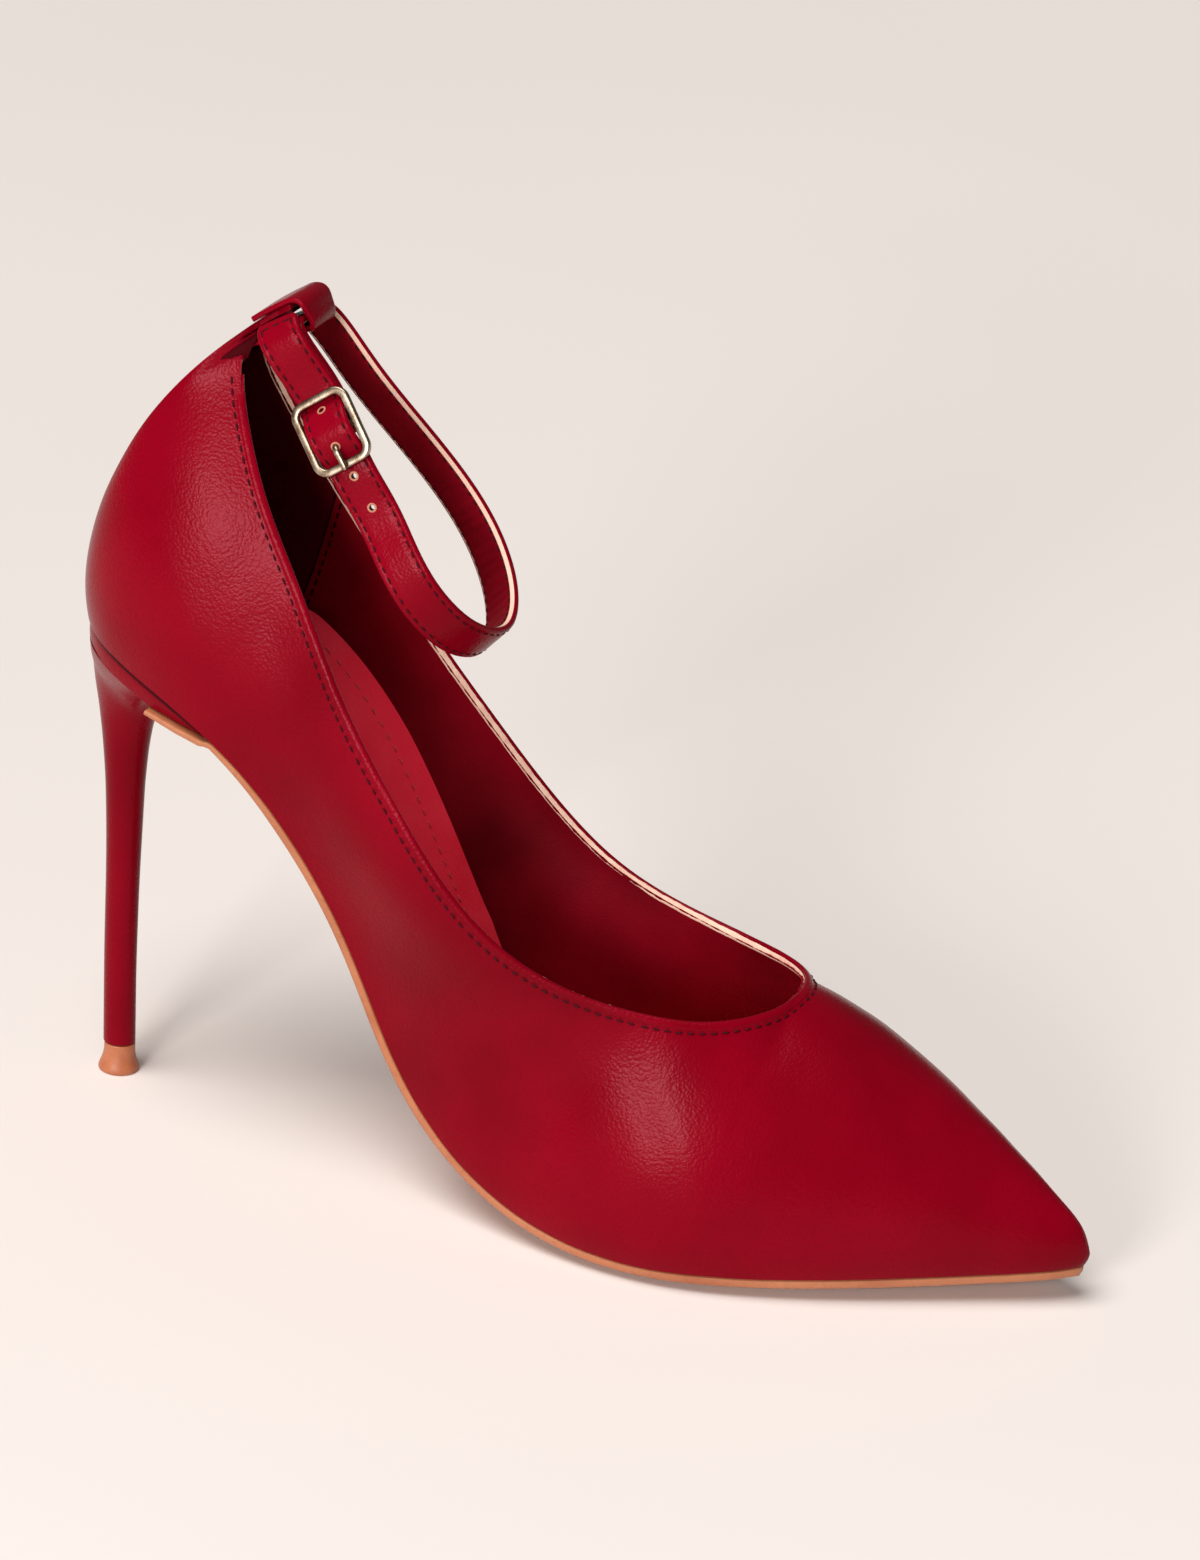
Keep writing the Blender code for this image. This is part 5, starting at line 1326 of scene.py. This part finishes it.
deselect()
bpy.ops.mesh.primitive_plane_add(size=12, location=(0, 0, 0))
floor = bpy.context.object
floor.name = "floor"
f = Finish("floor", Roughness=0.9)
cloud = f.ramp(f.noise(3, 2), (0.3, 0), (0.8, 1))
f.wire(Base_Color=f.mix(cloud, colour(*studio["floor"]), colour(*studio["floorCloud"])))
floor.data.materials.append(f.material)
floor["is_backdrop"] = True

world = bpy.data.worlds.new("studio")
bpy.context.scene.world = world
world.use_nodes = True
glow = world.node_tree.nodes["Background"].inputs
glow["Color"].default_value = studio["glow"]
glow["Strength"].default_value = studio["glowPower"]


def hang(name, thing):                       # an object for a light or a lens, put in the scene
    stand = bpy.data.objects.new(name, thing)
    bpy.context.collection.objects.link(stand)
    return stand


box = studio["box"]
lamp = bpy.data.lights.new("side", "AREA")
lamp.shape, lamp.energy = "RECTANGLE", box["power"]
lamp.size, lamp.size_y = box["size"]
side = hang("side", lamp)
side.location = box["place"]
side.rotation_mode = "QUATERNION"
side.rotation_quaternion = (Vector(box["target"]) - Vector(box["place"])).to_track_quat("-Z", "Y")
sun = bpy.data.lights.new("sky", "SUN")
sun.energy, sun.angle, sun.color = studio["sunPower"], math.radians(studio["sunWide"]), studio["sunTint"]
sky = hang("sky", sun)
sky.rotation_euler = (math.radians(studio["sunTurn"][0]), math.radians(studio["sunTurn"][1]), 0)
bpy.context.scene.view_settings.view_transform = "Standard"

# The camera looks at the middle of the model's box.
low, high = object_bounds()
eye = Vector(((np.array(studio["eye"]) + move) * 0.001).tolist())
target = Vector([(low[k] + high[k]) / 2 for k in range(3)])
aim = (target - eye).normalized()
upWay = Vector(studio["up"])
rightWay = aim.cross(upWay).normalized()
upWay = rightWay.cross(aim).normalized()
lens = bpy.data.cameras.new("camera")
lens.lens, lens.sensor_width = studio["lens"], 36
lens.clip_start, lens.clip_end = 0.05, 20
camera = hang("camera", lens)
camera.matrix_world = Matrix.Translation(eye) @ Matrix((rightWay, upWay, -aim)).transposed().to_4x4()
bpy.context.scene.camera = camera
print("studio done")
